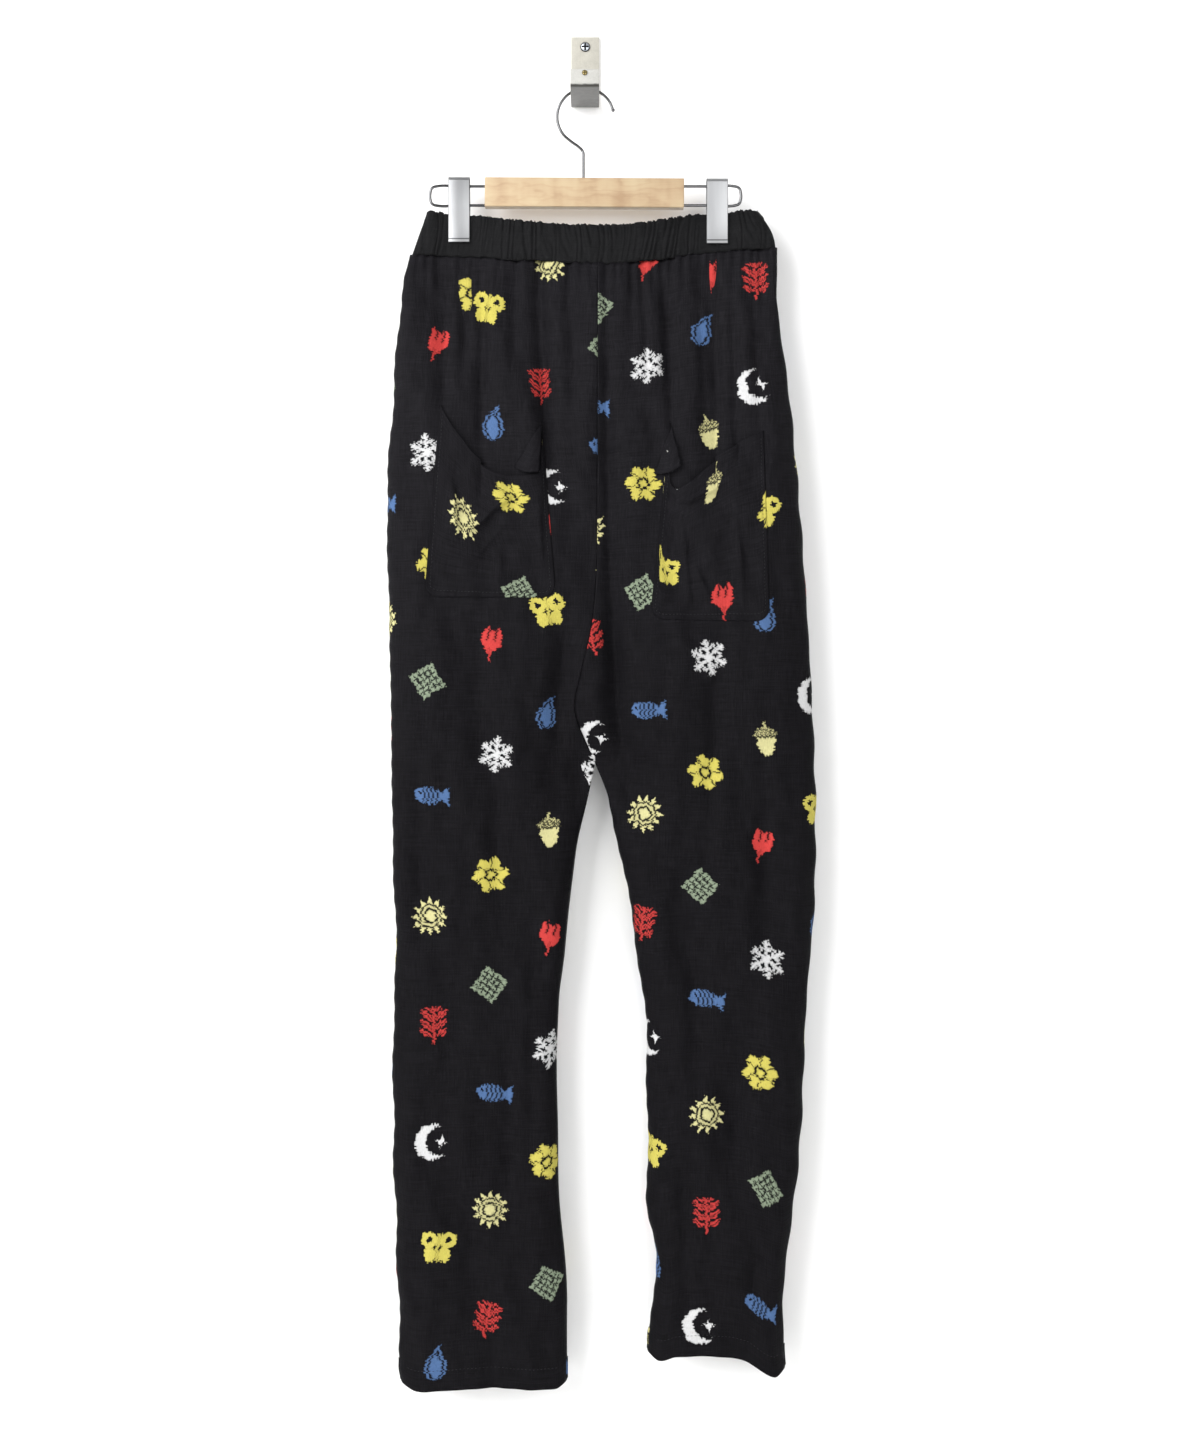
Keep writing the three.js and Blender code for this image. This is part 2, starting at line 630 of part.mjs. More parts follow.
// The swan-neck hook wire, from its tip over the wall hook and down into the bar
function hookWire() {
  const points = [];
  for (let turn = HOOK.from; turn <= HOOK.to; turn += HOOK.step) {
    const angle = (turn * Math.PI) / 180;
    points.push(inPlane(
      HOOK.x + HOOK.radius * Math.cos(angle), HOOK.z + HOOK.radius * Math.sin(angle),
    ));
  }
  points.push(...NECK.map(({ x, z }) => inPlane(x, z)));
  points.push(inPlane(NECK.at(-1).x, BAR.z + BAR.tall / 2 - SOCKET + 3));
  return wireAlong(points, 46);
}

function woodBar() {
  const { wide, tall, thick, round, bevel } = BAR;
  const [w, h] = [wide / 2, tall / 2];
  const shape = new THREE.Shape();
  shape.moveTo(-w + round, -h + bevel);
  shape.lineTo(w - round, -h + bevel);
  shape.lineTo(w - bevel, -h + round);
  shape.lineTo(w - bevel, h - round);
  shape.lineTo(w - round, h - bevel);
  shape.lineTo(-w + round, h - bevel);
  shape.lineTo(-w + bevel, h - round);
  shape.lineTo(-w + bevel, -h + round);
  const geometry = new THREE.ExtrudeGeometry(shape, {
    depth: thick - 2 * bevel, bevelThickness: bevel, bevelSize: bevel, bevelSegments: 2,
  });
  geometry.translate(0, 0, -thick / 2 + bevel).rotateX(Math.PI / 2);
  geometry.rotateY((BAR.tilt * Math.PI) / 180).translate(-0.5, HANG_Y, BAR.z);
  const hole = (long) => new THREE.CylinderGeometry(
    WIRE.radius + GAP, WIRE.radius + GAP, long, WIRE.sides,
  );
  const tools = [];
  for (const side of [-1, 1]) {
    for (const z of [FRAME.high, FRAME.low]) {
      const drilled = hole(2 * SOCKET + 1).rotateZ(Math.PI / 2);
      tools.push(drilled.translate(side * w, HANG_Y, z));
    }
  }
  const socket = hole(2 * SOCKET).rotateX(Math.PI / 2);
  tools.push(socket.translate(NECK.at(-1).x, HANG_Y, BAR.z + h));
  return cut(geometry, ...tools);
}

// A trouser clip: one strip of sheet bent over the wire loop, its two jaws gripping the band
function clip({ x, z }) {
  const { wide, tall, sheet, top, lip, flare, grip, shoulder } = CLIP;
  const jaw = BAND_PINCHED + 1.25 * BAND_RIPPLE * PRESSED + GAP;
  const low = z - tall;
  const side = [
    [jaw + flare, low], [jaw, low + lip], [jaw, low + grip], [top, z - shoulder],
    [top, z - 3 * sheet], [top / 2, z - sheet],
  ];
  const away = ([y, height], out) => [y + out, height + (height > z - 2 * sheet ? out : 0)];
  const outline = [
    ...side.map((p) => away(p, sheet)),
    ...[...side].reverse().map((p) => away(p, sheet)).map(([y, h]) => [-y, h]),
    ...side.map(([y, h]) => [-y, h]),
    ...[...side].reverse(),
  ];
  const shape = new THREE.Shape(outline.map(([y, h]) => new THREE.Vector2(HANG_Y + y, h)));
  return extrudeAlongX(shape, wide, x);
}

// The wall hook: a flat bar bent into a back plate, an arm and an upturned lip
function bracket() {
  const { wide, sheet, top, under, reach, lip, bend } = BRACKET;
  const inner = bend - sheet;
  const shape = new THREE.Shape();
  shape.moveTo(0, top);
  shape.lineTo(-sheet, top);
  shape.lineTo(-sheet, under + bend);
  shape.absarc(-bend, under + bend, inner, 0, -Math.PI / 2, true);
  shape.lineTo(-reach + bend, under + sheet);
  shape.absarc(-reach + bend, under + bend, inner, -Math.PI / 2, -Math.PI, true);
  shape.lineTo(-reach + sheet, lip);
  shape.lineTo(-reach, lip);
  shape.lineTo(-reach, under + bend);
  shape.absarc(-reach + bend, under + bend, bend, Math.PI, 1.5 * Math.PI, false);
  shape.lineTo(-bend, under);
  shape.absarc(-bend, under + bend, bend, -Math.PI / 2, 0, false);
  const body = extrudeAlongX(shape, wide, 0);
  const holes = Object.values(SCREWS).map(({ z, shank, y }) => {
    const hole = new THREE.CylinderGeometry(shank + GAP, shank + GAP, 12, 16);
    return hole.translate(0, y, z);
  });
  return cut(body, ...holes);
}

// A screw: domed head on the metal, a cross cut in it, and its shank as far as the metal's back
function screw({ z, radius, head, shank, y, cross }) {
  const deep = BRACKET.sheet - 2 * GAP;
  const profile = [new THREE.Vector2(0, -deep), new THREE.Vector2(shank, -deep),
    new THREE.Vector2(shank, GAP)];
  for (let k = 0; k <= 4; k++) {
    const turn = (k * Math.PI) / 8;
    profile.push(new THREE.Vector2(radius * Math.cos(turn), GAP + (head - GAP) * Math.sin(turn)));
  }
  const body = new THREE.LatheGeometry(profile, 20);
  const slot = cross / 4;
  const bars = [[cross, slot], [slot, cross]].map(([w, d]) => {
    const bar = new THREE.BoxGeometry(2 * w, head, 2 * d);
    return bar.translate(0, head, 0);
  });
  // The lathe's axis turns to point out of the wall, towards -Y
  return cut(body, ...bars).rotateX(Math.PI).translate(0, y, z);
}

const root = new THREE.Group();

function add(name, geometry, colour) {
  const [color, roughness, metalness] = COLOURS[colour];
  const material = new THREE.MeshStandardMaterial({ color, roughness, metalness });
  const mesh = new THREE.Mesh(geometry, material);
  mesh.name = name;
  root.add(mesh);
}

for (const half of ["left", "right"]) {
  for (const face of ["front", "back"]) {
    const panel = new Panel(half, face);
    for (const length of LENGTHS) {
      add(`${face}_${half}_${length.name}`, panel.solid(length), "cloth");
    }
  }
  add(`pocket_${half}`, pocket(half, new Panel(half, "front")), "cloth");
  add(`clip_${half}`, clip(CLIPS[half]), "steel");
  add(`frame_wire_${half}`, frameLoop(FRAME[half]), "steel");
}
add("waistband", waistband(), "band");
add("wood_bar", woodBar(), "wood");
add("hook_wire", hookWire(), "steel");
add("wall_hook", bracket(), "enamel");
add("screw_wall", screw(SCREWS.wall), "steel");
add("screw_lip", screw(SCREWS.lip), "brass");

export default root;
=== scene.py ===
# %% [markdown]
# # Loose trousers on a clip hanger
# The packed model gives the solids and the frame: metres, +Z up, the wall at Y = 0 and the
# front of the garment facing -Y. Each step below makes one piece or one finish, in the order
# in which someone would make the real thing: cloth first, then the hanger and the wall hook.

# %% Load the packed model
import math
from functools import partialmethod

import bmesh
import bpy
import numpy as np
from mathutils import Matrix, Vector


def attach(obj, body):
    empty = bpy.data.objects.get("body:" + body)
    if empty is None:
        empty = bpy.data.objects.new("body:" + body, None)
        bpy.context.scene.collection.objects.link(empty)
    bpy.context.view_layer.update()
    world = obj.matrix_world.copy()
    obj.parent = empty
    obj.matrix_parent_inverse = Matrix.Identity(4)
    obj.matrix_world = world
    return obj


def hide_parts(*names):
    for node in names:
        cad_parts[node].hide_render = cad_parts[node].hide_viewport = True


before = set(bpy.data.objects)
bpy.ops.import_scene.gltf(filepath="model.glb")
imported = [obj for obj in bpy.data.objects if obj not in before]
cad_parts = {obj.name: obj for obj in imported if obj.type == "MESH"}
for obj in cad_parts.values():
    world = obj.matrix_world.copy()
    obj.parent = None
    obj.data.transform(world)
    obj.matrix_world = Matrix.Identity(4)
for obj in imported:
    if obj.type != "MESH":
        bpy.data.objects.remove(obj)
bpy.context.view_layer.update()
MM = 0.001

# %% [markdown]
# The photograph looks straight at the wall from 1.7 m in front of the garment, level with its
# middle. A level camera with no shift keeps upright lines upright. The lens follows from the
# 1260 mm that the tall side of the frame takes in at that distance.

# %% Camera
scene = bpy.context.scene
camera = bpy.data.objects.new("camera", bpy.data.cameras.new("camera"))
camera.data.lens = 48.57
camera.location = (0.0131, -1.73, -0.5759)
camera.rotation_euler = (math.radians(90), 0, 0)
scene.collection.objects.link(camera)
scene.camera = camera
scene.view_settings.view_transform = "Standard"
print("camera at", tuple(camera.location), "lens", camera.data.lens)

# %% [markdown]
# A white wall under broad soft light goes fully white, and only the faint shadows right of
# and below each thing stay grey. One lamp at the upper left makes them and rakes across the
# folds, a broad one at the right fills and shines in the clips, and the world gives the
# rest. The lamp behind is there for views from the back.

# %% Studio light
LAMPS = {
    # name: place, aims at, size in metres, watts
    "key": ((-1.75, -1.75, 0.5), (0.0, 0.0, -0.6), 2.0, 94),
    "fill": ((1.2, -2.4, 0.1), (0.9, 0.0, -0.2), 2.4, 36),
    "back": ((0.2, 2.6, -0.2), (0.0, 0.0, -0.6), 2.0, 70),
}
for name, (place, target, size, watts) in LAMPS.items():
    lamp = bpy.data.lights.new(name, "AREA")
    lamp.size, lamp.energy = size, watts
    holder = bpy.data.objects.new("lamp_" + name, lamp)
    holder.location = place
    way = Vector(target) - Vector(place)
    holder.rotation_euler = way.to_track_quat("-Z", "Y").to_euler()
    scene.collection.objects.link(holder)
scene.world = bpy.data.worlds.new("studio")
scene.world.use_nodes = True
sky = scene.world.node_tree.nodes["Background"].inputs
sky["Color"].default_value, sky["Strength"].default_value = (1, 1, 1, 1), 0.3
print("lamps:", list(LAMPS))

# %% [markdown]
# The wall and the floor are one sheet each. They aren't part of the object. The wall's back
# face and its shadow on the lamp behind are let through, so the garment's back can be seen.

# %% Wall and floor
STAGE_HALF = 3.0  # half the side of either sheet, in metres


def add_mesh(name, bm):
    """Ends a bmesh and puts it in the scene as an object."""
    mesh = bpy.data.meshes.new(name)
    bm.to_mesh(mesh)
    bm.free()
    thing = bpy.data.objects.new(name, mesh)
    scene.collection.objects.link(thing)
    return thing


def new_material(name, **constants):
    """The constants are named as the shader's sockets are."""
    made = bpy.data.materials.new(name)
    made.use_nodes = True
    shader = made.node_tree.nodes["Principled BSDF"]
    for label, value in constants.items():
        port = shader.inputs[label.replace("_", " ")]
        port.default_value = (*value, 1) if isinstance(value, tuple) else value
    return made, made.node_tree, shader


def backdrop(name, turn, place, colour):
    bm = bmesh.new()
    bmesh.ops.create_grid(bm, x_segments=1, y_segments=1, size=STAGE_HALF)
    bmesh.ops.rotate(bm, verts=bm.verts, cent=(0, 0, 0), matrix=turn)
    bmesh.ops.translate(bm, verts=bm.verts, vec=place)
    thing = add_mesh(name, bm)
    made, tree, shader = new_material(name, Base_Color=colour, Roughness=0.9,
                                      Specular_IOR_Level=0.1)
    thing.data.materials.append(made)
    return tree, shader


def let_through(tree, shader):
    """Clear from behind, and to shadow rays."""
    face, ray, either, clear, both = (
        tree.nodes.new("ShaderNode" + kind)
        for kind in ("NewGeometry", "LightPath", "Math", "BsdfTransparent", "MixShader"))
    either.operation = "MAXIMUM"
    for socket, port in ((face.outputs["Backfacing"], either.inputs[0]),
                         (ray.outputs["Is Shadow Ray"], either.inputs[1]),
                         (either.outputs[0], both.inputs[0]),
                         (shader.outputs[0], both.inputs[1]),
                         (clear.outputs[0], both.inputs[2]),
                         (both.outputs[0], tree.nodes["Material Output"].inputs["Surface"])):
        tree.links.new(socket, port)


upright = Matrix.Rotation(math.radians(90), 3, "X")
let_through(*backdrop("wall", upright, (0, 0.0006, 1.66), (0.93, 0.93, 0.93)))
backdrop("floor", Matrix.Identity(3), (0, 0, -1.34), (0.86, 0.86, 0.85))
print("stage: wall and floor")

# %% [markdown]
# ## The cut of the cloth
# These are the garment's own sizes in millimetres. Left and right are as seen from the
# front. Each line is (height, across) down a seam, or (across, height) along an edge.

# %% Seam lines and edges
HANG_Y = -30  # the hanger's plane, midway through the garment
CROTCH = (-613.5, 8.8)
HALVES = ("left", "right")
SIDE = {
    "left": [(-168, -153), (-208, -161), (-296, -168), (-385, -173.3), (-540, -170.3),
             (-700, -168), (-777, -165.4), (-850, -168), (-955, -167.4), (-1030, -165),
             (-1158, -161)],
    "right": [(-162, 168.2), (-208, 168.2), (-296, 179.4), (-383, 187.3), (-515, 196),
              (-646, 201.3), (-733, 200.4), (-820, 193.4), (-952, 187.3), (-1083, 172.8),
              (-1145, 175.2)],
}
CENTRE = {
    "front": [(-177, 11.4), (-436, 10.5), (-493, 6), (-534, -3), (-566, -9), CROTCH],
    "back": [(-177, 11.4), (-400, 12), CROTCH],
}
INSEAM = {
    "left": [CROTCH, (-646, 1.8), (-690, -8.5), (-777, -16.6), (-821, -22.8), (-908, -24),
             (-996, -21.4), (-1083, -15.8), (-1157, -17)],
    "right": [CROTCH, (-646, 20.8), (-711, 34.1), (-777, 45.5), (-864, 54.3), (-996, 54.3),
              (-1040, 61.3), (-1083, 59.5), (-1130, 54.3)],
}
WAIST_SEAM = [(-153, -168.1), (-92, -170.7), (-35, -175), (12, -177), (50, -175), (100, -167),
              (168, -162)]
BAND_TOP = [(-139, -133), (-100, -135.5), (-40, -143.3), (15, -145.4), (60, -142),
            (100, -135), (151, -131.4)]
HEM = {
    "left": [(0, -1153.5), (0.1, -1159.5), (0.5, -1155.5), (0.93, -1157.5), (1, -1152.5)],
    "right": [(0, -1141), (0.08, -1147), (0.3, -1133), (0.55, -1127.5), (0.8, -1128.5),
              (0.92, -1133), (1, -1127)],
}
# How far the cloth stands off the hanger's plane by height, and the share at the centre seam
STANDS = {
    "front": [(-165, 10), (-260, 17), (-400, 21), (-520, 22), (-580, 21), (-613.5, 20),
              (-760, 18), (-1000, 17), (-1160, 15)],
    "back": [(-165, 9), (-260, 15), (-400, 20), (-520, 21), (-580, 20), (-613.5, 19),
             (-760, 17), (-1000, 16), (-1160, 14)],
    "centre": [(-165, 1), (-260, 0.98), (-400, 0.94), (-520, 0.85), (-580, 0.55),
               (-613.5, 0)],
}
print("widest across the hips:", SIDE["right"][5][1] - SIDE["left"][3][1], "mm")

# %% [markdown]
# Cloth that hangs from two clips falls in long soft troughs. They're placed from the
# photograph on the front, with similar ones on the back. No two have the same length, width
# or depth. Shorter, sharper pleats run down from the gathered seam.

# %% Troughs and pleats
# x, z at the top, x, z at the foot, sideways bow, half width, depth
TROUGHS = {
    "front": [
        (-124, -135, -124, -330, 2, 7, 4), (-104, -140, -108, -290, 1, 6, 4.4),
        (-88, -150, -91, -400, 0, 6, 5.4), (-66, -145, -63, -300, 1, 6, 3.4),
        (-41, -135, -29, -390, -2, 7, 8), (-15, -150, -11, -320, 1, 7, 3),
        (46, -135, 55, -290, 1, 6, 6.2), (63, -140, 76, -340, 2, 6, 6.8),
        (96, -140, 105, -350, 1, 6, 3.6), (112, -135, 113, -400, 2, 7, 6.2),
        (125, -150, 132, -360, 1, 6, 3.6), (143, -130, 152, -330, 0, 7, 4.2),
        (20, -220, 22, -470, -1, 7, 6),
        (21, -415, 40, -665, -3, 10, 9), (-10, -462, -26, -610, -2, 11, 6),
        (-94, -480, -90, -650, 3, 13, 4), (121, -490, 108, -700, -3, 14, 4),
        (-146, -590, -144, -830, 2, 11, 4), (-82, -620, -72, -850, 4, 13, 4.5),
        (-121, -770, -120, -940, -3, 12, 4), (-70, -850, -66, -1040, 3, 12, 4),
        (-42, -700, -44, -960, -4, 10, 3.5), (-110, -980, -84, -1120, 4, 14, 3.5),
        (150, -560, 158, -820, 4, 13, 4), (92, -690, 98, -900, -3, 13, 4.5),
        (131, -820, 124, -1010, 3, 12, 4), (84, -960, 92, -1110, -2, 11, 4),
        (148, -1010, 138, -1150, 2, 10, 4),
    ],
    "back": [
        (-112, -172, -106, -345, 3, 12, 4.5), (-52, -174, -60, -300, 0, 11, 4),
        (62, -172, 66, -330, 2, 12, 4.5), (118, -168, 126, -300, -2, 12, 4),
        (-20, -330, -34, -640, 4, 14, 6), (44, -380, 52, -690, -4, 14, 6),
        (-118, -420, -112, -700, 5, 15, 4.5), (138, -430, 132, -720, -4, 15, 4.5),
        (-84, -680, -92, -960, 4, 13, 4), (118, -700, 112, -960, -4, 13, 4),
        (-112, -940, -100, -1130, 3, 13, 3.5), (104, -930, 116, -1110, 3, 13, 3.5),
    ],
}
# x, depth, length, half width of each pleat under the band
PLEATS = [
    (-146, 1.4, 50, 3), (-138, 1.8, 70, 3.2), (-128.6, 2.4, 130, 4), (-118, 1.3, 45, 3),
    (-110, 1.6, 60, 2.6), (-101.5, 2.6, 170, 3.6), (-93, 2.2, 130, 3), (-84, 1.2, 40, 2.6),
    (-76, 1.6, 65, 3), (-68, 1, 35, 2.5), (-59.5, 2.3, 110, 3.5), (-49, 1.3, 45, 3),
    (-39.4, 2.7, 160, 4), (-30, 1.4, 50, 2.6), (-22, 1, 40, 2.6), (-14, 1.8, 75, 3),
    (-3, 1.2, 45, 2.8), (6, 1, 30, 2.5), (18.4, 1.8, 80, 3.2), (27, 1.2, 45, 2.6),
    (33, 1, 35, 2.4), (40.3, 2.4, 120, 3.5), (50, 1.4, 50, 2.8), (58.6, 2, 95, 3),
    (67, 1.3, 40, 2.6), (75.3, 2.4, 140, 3.4), (85.8, 1.9, 85, 3), (94, 1.1, 40, 2.5),
    (101, 1.5, 55, 2.8), (112, 2.7, 160, 4), (122, 1.4, 45, 2.8), (131, 2.1, 90, 3),
    (139, 1.8, 70, 2.8), (147, 1.2, 40, 2.5), (153, 2.4, 120, 3.4), (161, 1.4, 50, 2.8),
]
print("troughs:", {k: len(v) for k, v in TROUGHS.items()}, "pleats:", len(PLEATS))

# %% [markdown]
# A few small helpers turn the tables into smooth values for whole arrays of points at once.
# A seam drawn through a handful of measured places then has no corners in it.

# %% Smooth values from tables


def mix(a, b, share):
    return a + (b - a) * share


def held(share):
    return np.clip(share, 0, 1)


def smooth(share):
    t = held(share)
    return t * t * (3 - 2 * t)


def hump(share):
    """Rises from 0 to 1 and falls back to 0."""
    return np.sin(math.pi * held(share))


def arc(share):
    """A quarter circle's height over its width, which turns an edge in."""
    return np.sqrt(np.maximum(1 - (1 - held(share)) ** 2, 0))


def read(table, place):
    """The table's value at each place, on a smooth curve through its rows."""
    along, value = np.array(sorted(table), float).T
    place = np.clip(place, along[0], along[-1])
    k = np.clip(np.searchsorted(along, place), 1, len(along) - 1)
    row = np.arange(len(along))
    before, after = np.maximum(row - 1, 0), np.minimum(row + 1, len(along) - 1)
    slope = (value[after] - value[before]) / (along[after] - along[before])
    span = along[k] - along[k - 1]
    rise = (value[k] - value[k - 1]) / span
    t = (place - along[k - 1]) / span
    low, high = np.minimum(0, 2.5 * rise), np.maximum(0, 2.5 * rise)
    p, q = (np.clip(slope[n], low, high) * span for n in (k - 1, k))
    t2, t3 = t * t, t * t * t
    return ((2 * t3 - 3 * t2 + 1) * value[k - 1] + (t3 - 2 * t2 + t) * p
            + (3 * t2 - 2 * t3) * value[k] + (t3 - t2) * q)


def ripples(u, v, seed, sizes):
    """Slow uneven waves, for the small wander that no listed fold has."""
    rng = np.random.default_rng(seed)
    total = np.zeros(np.broadcast(u, v).shape)
    for size, high in sizes:
        turn, phase, bend = rng.uniform(0, 2 * math.pi, 3)
        way = np.cos(turn) * u + 0.45 * np.sin(turn) * v
        total = total + high * np.sin(2 * math.pi * way / size + phase
                                      + 0.8 * np.sin(2 * math.pi * v / (2.7 * size) + bend))
    return total


def crease(share):
    """A trough's depth over its width: a narrow floor, and sides that ease out."""
    return np.exp(-(np.sqrt(share * share + 0.04) ** 1.35)) * 1.12


CLIP_X = (-110, 115.5)
PINCHED, OPEN, PINCH_REACH = 2.6, 9, 10.5


def seam_line(x):
    """The waist seam's own height, which wanders with the gathers."""
    return read(WAIST_SEAM, x) + ripples(x, 0 * x, 9, [(31, 0.4), (13, 0.35), (7.3, 0.3)])


def band_stands(x):
    """Half thickness of the waistband: flat under the clips, bowed out between them."""
    start, end = CLIP_X[0] + PINCH_REACH, CLIP_X[1] - PINCH_REACH
    away = np.maximum(start - x, x - end)
    between = mix(PINCHED, OPEN, hump((x - start) / (end - start)) ** 1.3)
    outside = PINCHED + 1.6 * smooth((away - 2 * PINCH_REACH) / 16)
    return np.where(away < 0, between, outside)


print("the waist seam dips to", round(float(read(WAIST_SEAM, 12.0)), 1), "mm")

# %% [markdown]
# Each front and back half is one sheet of cloth. *across* runs from the side seam (0) to the
# centre seam or inseam (1), and *down* from the waist seam (0) over the crotch (1) to the
# hem (2). The cloth bulges to its full depth 150 mm below the gathered seam.

# %% The shape of a panel


class Panel:
    def __init__(self, half, face):
        self.half, self.face = half, face
        self.outward = -1 if face == "front" else 1
        self.seed = {"front": 3, "back": 23}[face]  # both halves share it and meet level

    def height(self, across, down):
        top = seam_line(mix(SIDE[self.half][0][1], CENTRE["front"][0][1], across))
        hem = read(HEM[self.half], across)
        return np.where(down <= 1, mix(top, CROTCH[0], down), mix(CROTCH[0], hem, down - 1))

    def wander(self, z, more):
        """Sewn edges never hang quite straight."""
        seed = {"left": 41, "right": 47}[self.half] + more
        return ripples(z, 0 * z, seed, [(83, 0.6), (37, 0.5), (17, 0.3)])

    def edges(self, down):
        """Where the side seam and the centre seam or inseam are."""
        out_z = self.height(np.zeros_like(down), down)
        in_z = self.height(np.ones_like(down), down)
        inner = np.where(down <= 1, read(CENTRE[self.face], in_z), read(INSEAM[self.half], in_z))
        return (read(SIDE[self.half], out_z) + self.wander(out_z, 0) * smooth(down / 0.06),
                inner + self.wander(in_z, 1) * smooth((down - 1) / 0.1))

    def troughs(self, x, z):
        total = np.zeros_like(x)
        for x0, z0, x1, z1, bow, wide, deep in TROUGHS[self.face]:
            t = held((z - z0) / (z1 - z0))
            line = mix(x0, x1, t) + bow * 4 * t * (1 - t)
            total += deep * crease((x - line) / wide) * hump(t) ** 0.7
        return total

    def pleats(self, x, fall):
        total = np.zeros_like(x)
        for at, deep, long, wide in PLEATS:
            lean = at + 0.04 * fall * math.sin(at)
            gone = held(1 - fall / long) ** 1.5
            total += deep * crease((x - lean) / (wide * (1 + fall / 90))) * gone
        return total

    def place(self, across, down):
        """Where the cloth's outer face is, in mm."""
        across, down = np.broadcast_arrays(np.asarray(across, float), np.asarray(down, float))
        z = self.height(across, down)
        out_x, in_x = self.edges(down)
        x = mix(out_x, in_x, across)
        fall = self.height(across, np.zeros_like(down)) - z
        settled = smooth(fall / 150)
        outer = arc(across / mix(0.06, 0.24, settled))
        centre = read(STANDS["centre"], self.height(np.ones_like(down), down))
        kept = np.where(down <= 1, centre, 0)
        inner = mix(arc((1 - across) / 0.24), 1, smooth(kept))
        thin = mix(kept, 1, smooth((1 - across) / 0.4))
        middle = mix(thin, 1, smooth((down - 1) / 0.18))
        full = read(STANDS[self.face], z) * middle
        cloth = mix(band_stands(x) + 1.5, full, settled) + 1.2 * np.exp(-fall / 30)
        fold = self.troughs(x, z) * mix(0.9, 1.5, settled) + 2.3 * self.pleats(x, fall)
        small = ripples(x, z, self.seed, [(61, 1.1), (37, 0.9), (23, 0.55), (14, 0.2)])
        off = (cloth - fold + small * smooth(fall / 40)) * outer * inner
        # The seams: the cloth rolls in under the band and along the centre seam
        off = off - (1.7 + 0.3 * ripples(x, z, 4, [(19, 1), (8, 1)])) * np.exp(-fall / 2.2)
        from_seam = (1 - across) * np.abs(in_x - out_x)
        dip = 0.3 * smooth((-z - 250) / 200) * smooth(kept) * np.exp(-((from_seam / 1.3) ** 2))
        off = off - np.where(down <= 1, dip, 0)
        return np.stack([x, HANG_Y + self.outward * np.maximum(off, 0.05), z], axis=-1)


PANELS = {(half, face): Panel(half, face) for half in HALVES for face in ("front", "back")}
probe = PANELS["left", "front"].place(0.5, 0.6)
print("middle of the left front is at", probe.round(1), "mm")

# %% [markdown]
# A sheet starts as a flat grid of square cells, as a length of cloth does, and each point of
# the grid is then moved to where it hangs. Its UV map keeps the place on the flat cloth in
# metres, so the weave and the figures run with the threads and are cut at the seams.

# %% A sheet of cloth from a grid


def grid_sheet(name, cells, thick, shape, toward, lay=(0, 0), grain_x=None):
    """shape takes shares across and down and gives places in mm; toward is a way out of it."""
    columns, rows = cells
    bm = bmesh.new()
    bmesh.ops.create_grid(bm, x_segments=columns, y_segments=rows, size=0.5)
    thing = add_mesh(name, bm)
    mesh = thing.data
    flat = np.empty(len(mesh.vertices) * 3, dtype=np.float32)
    mesh.vertices.foreach_get("co", flat)
    flat = flat.reshape(-1, 3)
    i = np.rint((flat[:, 0] + 0.5) * columns).astype(int)
    j = np.rint((0.5 - flat[:, 1]) * rows).astype(int)
    s, t = np.meshgrid(np.linspace(0, 1, columns + 1), np.linspace(0, 1, rows + 1))
    places = shape(s, t)
    mesh.vertices.foreach_set("co", (places[j, i] * MM).astype(np.float32).ravel())
    # Lengths along the cloth, in mm: across from the grain line, and down along the rows
    step = np.linalg.norm(np.diff(places, axis=1), axis=2)
    along = np.concatenate([np.zeros((rows + 1, 1)), np.cumsum(step, axis=1)], axis=1)
    if grain_x is not None:
        way = 1 if places[0, -1, 0] > places[0, 0, 0] else -1
        zero = [np.interp(way * grain_x, way * p[:, 0], a) for p, a in zip(places, along)]
        along = way * (along - np.array(zero)[:, None])
    drop = np.linalg.norm(np.diff(places, axis=0), axis=2).mean(axis=1)
    down = np.concatenate([[0], np.cumsum(drop)])
    uv = np.stack([along + lay[0], np.repeat(lay[1] - down[:, None], columns + 1, 1)], -1)
    corner = np.empty(len(mesh.loops), dtype=np.int32)
    mesh.loops.foreach_get("vertex_index", corner)
    layer = mesh.uv_layers.new(name="cloth")
    layer.data.foreach_set("uv", (uv[j, i][corner] * MM).astype(np.float32).ravel())
    mesh.update()
    if sum(np.dot(p.normal, toward) * p.area for p in mesh.polygons) < 0:
        mesh.flip_normals()
    mesh.shade_smooth()
    wall = thing.modifiers.new("thickness", "SOLIDIFY")
    wall.thickness, wall.offset = thick * MM, -1
    area = sum(p.area for p in mesh.polygons)
    print(f"{name}: {len(mesh.polygons)} cells, {area:.4f} m2, "
          f"{(along.max(1) - along.min(1)).max():.0f} x {down[-1]:.0f} mm of cloth")
    return thing


# %% [markdown]
# At the ankle the cloth goes round the hem and up inside for 20 mm. The same grid does both
# layers: past the hem line its rows turn round a small fold and climb the inside.

# %% Fronts and backs
LEG_CLOTH, POCKET_CLOTH, BAND_CLOTH = 0.9, 0.75, 0.8  # thicknesses in mm
PANEL_CELLS = (96, 320)
HEM_TALL, HEM_OPEN = 20, 2.4
TURN_ROWS = 0.035  # share of a panel's rows in its turn-up


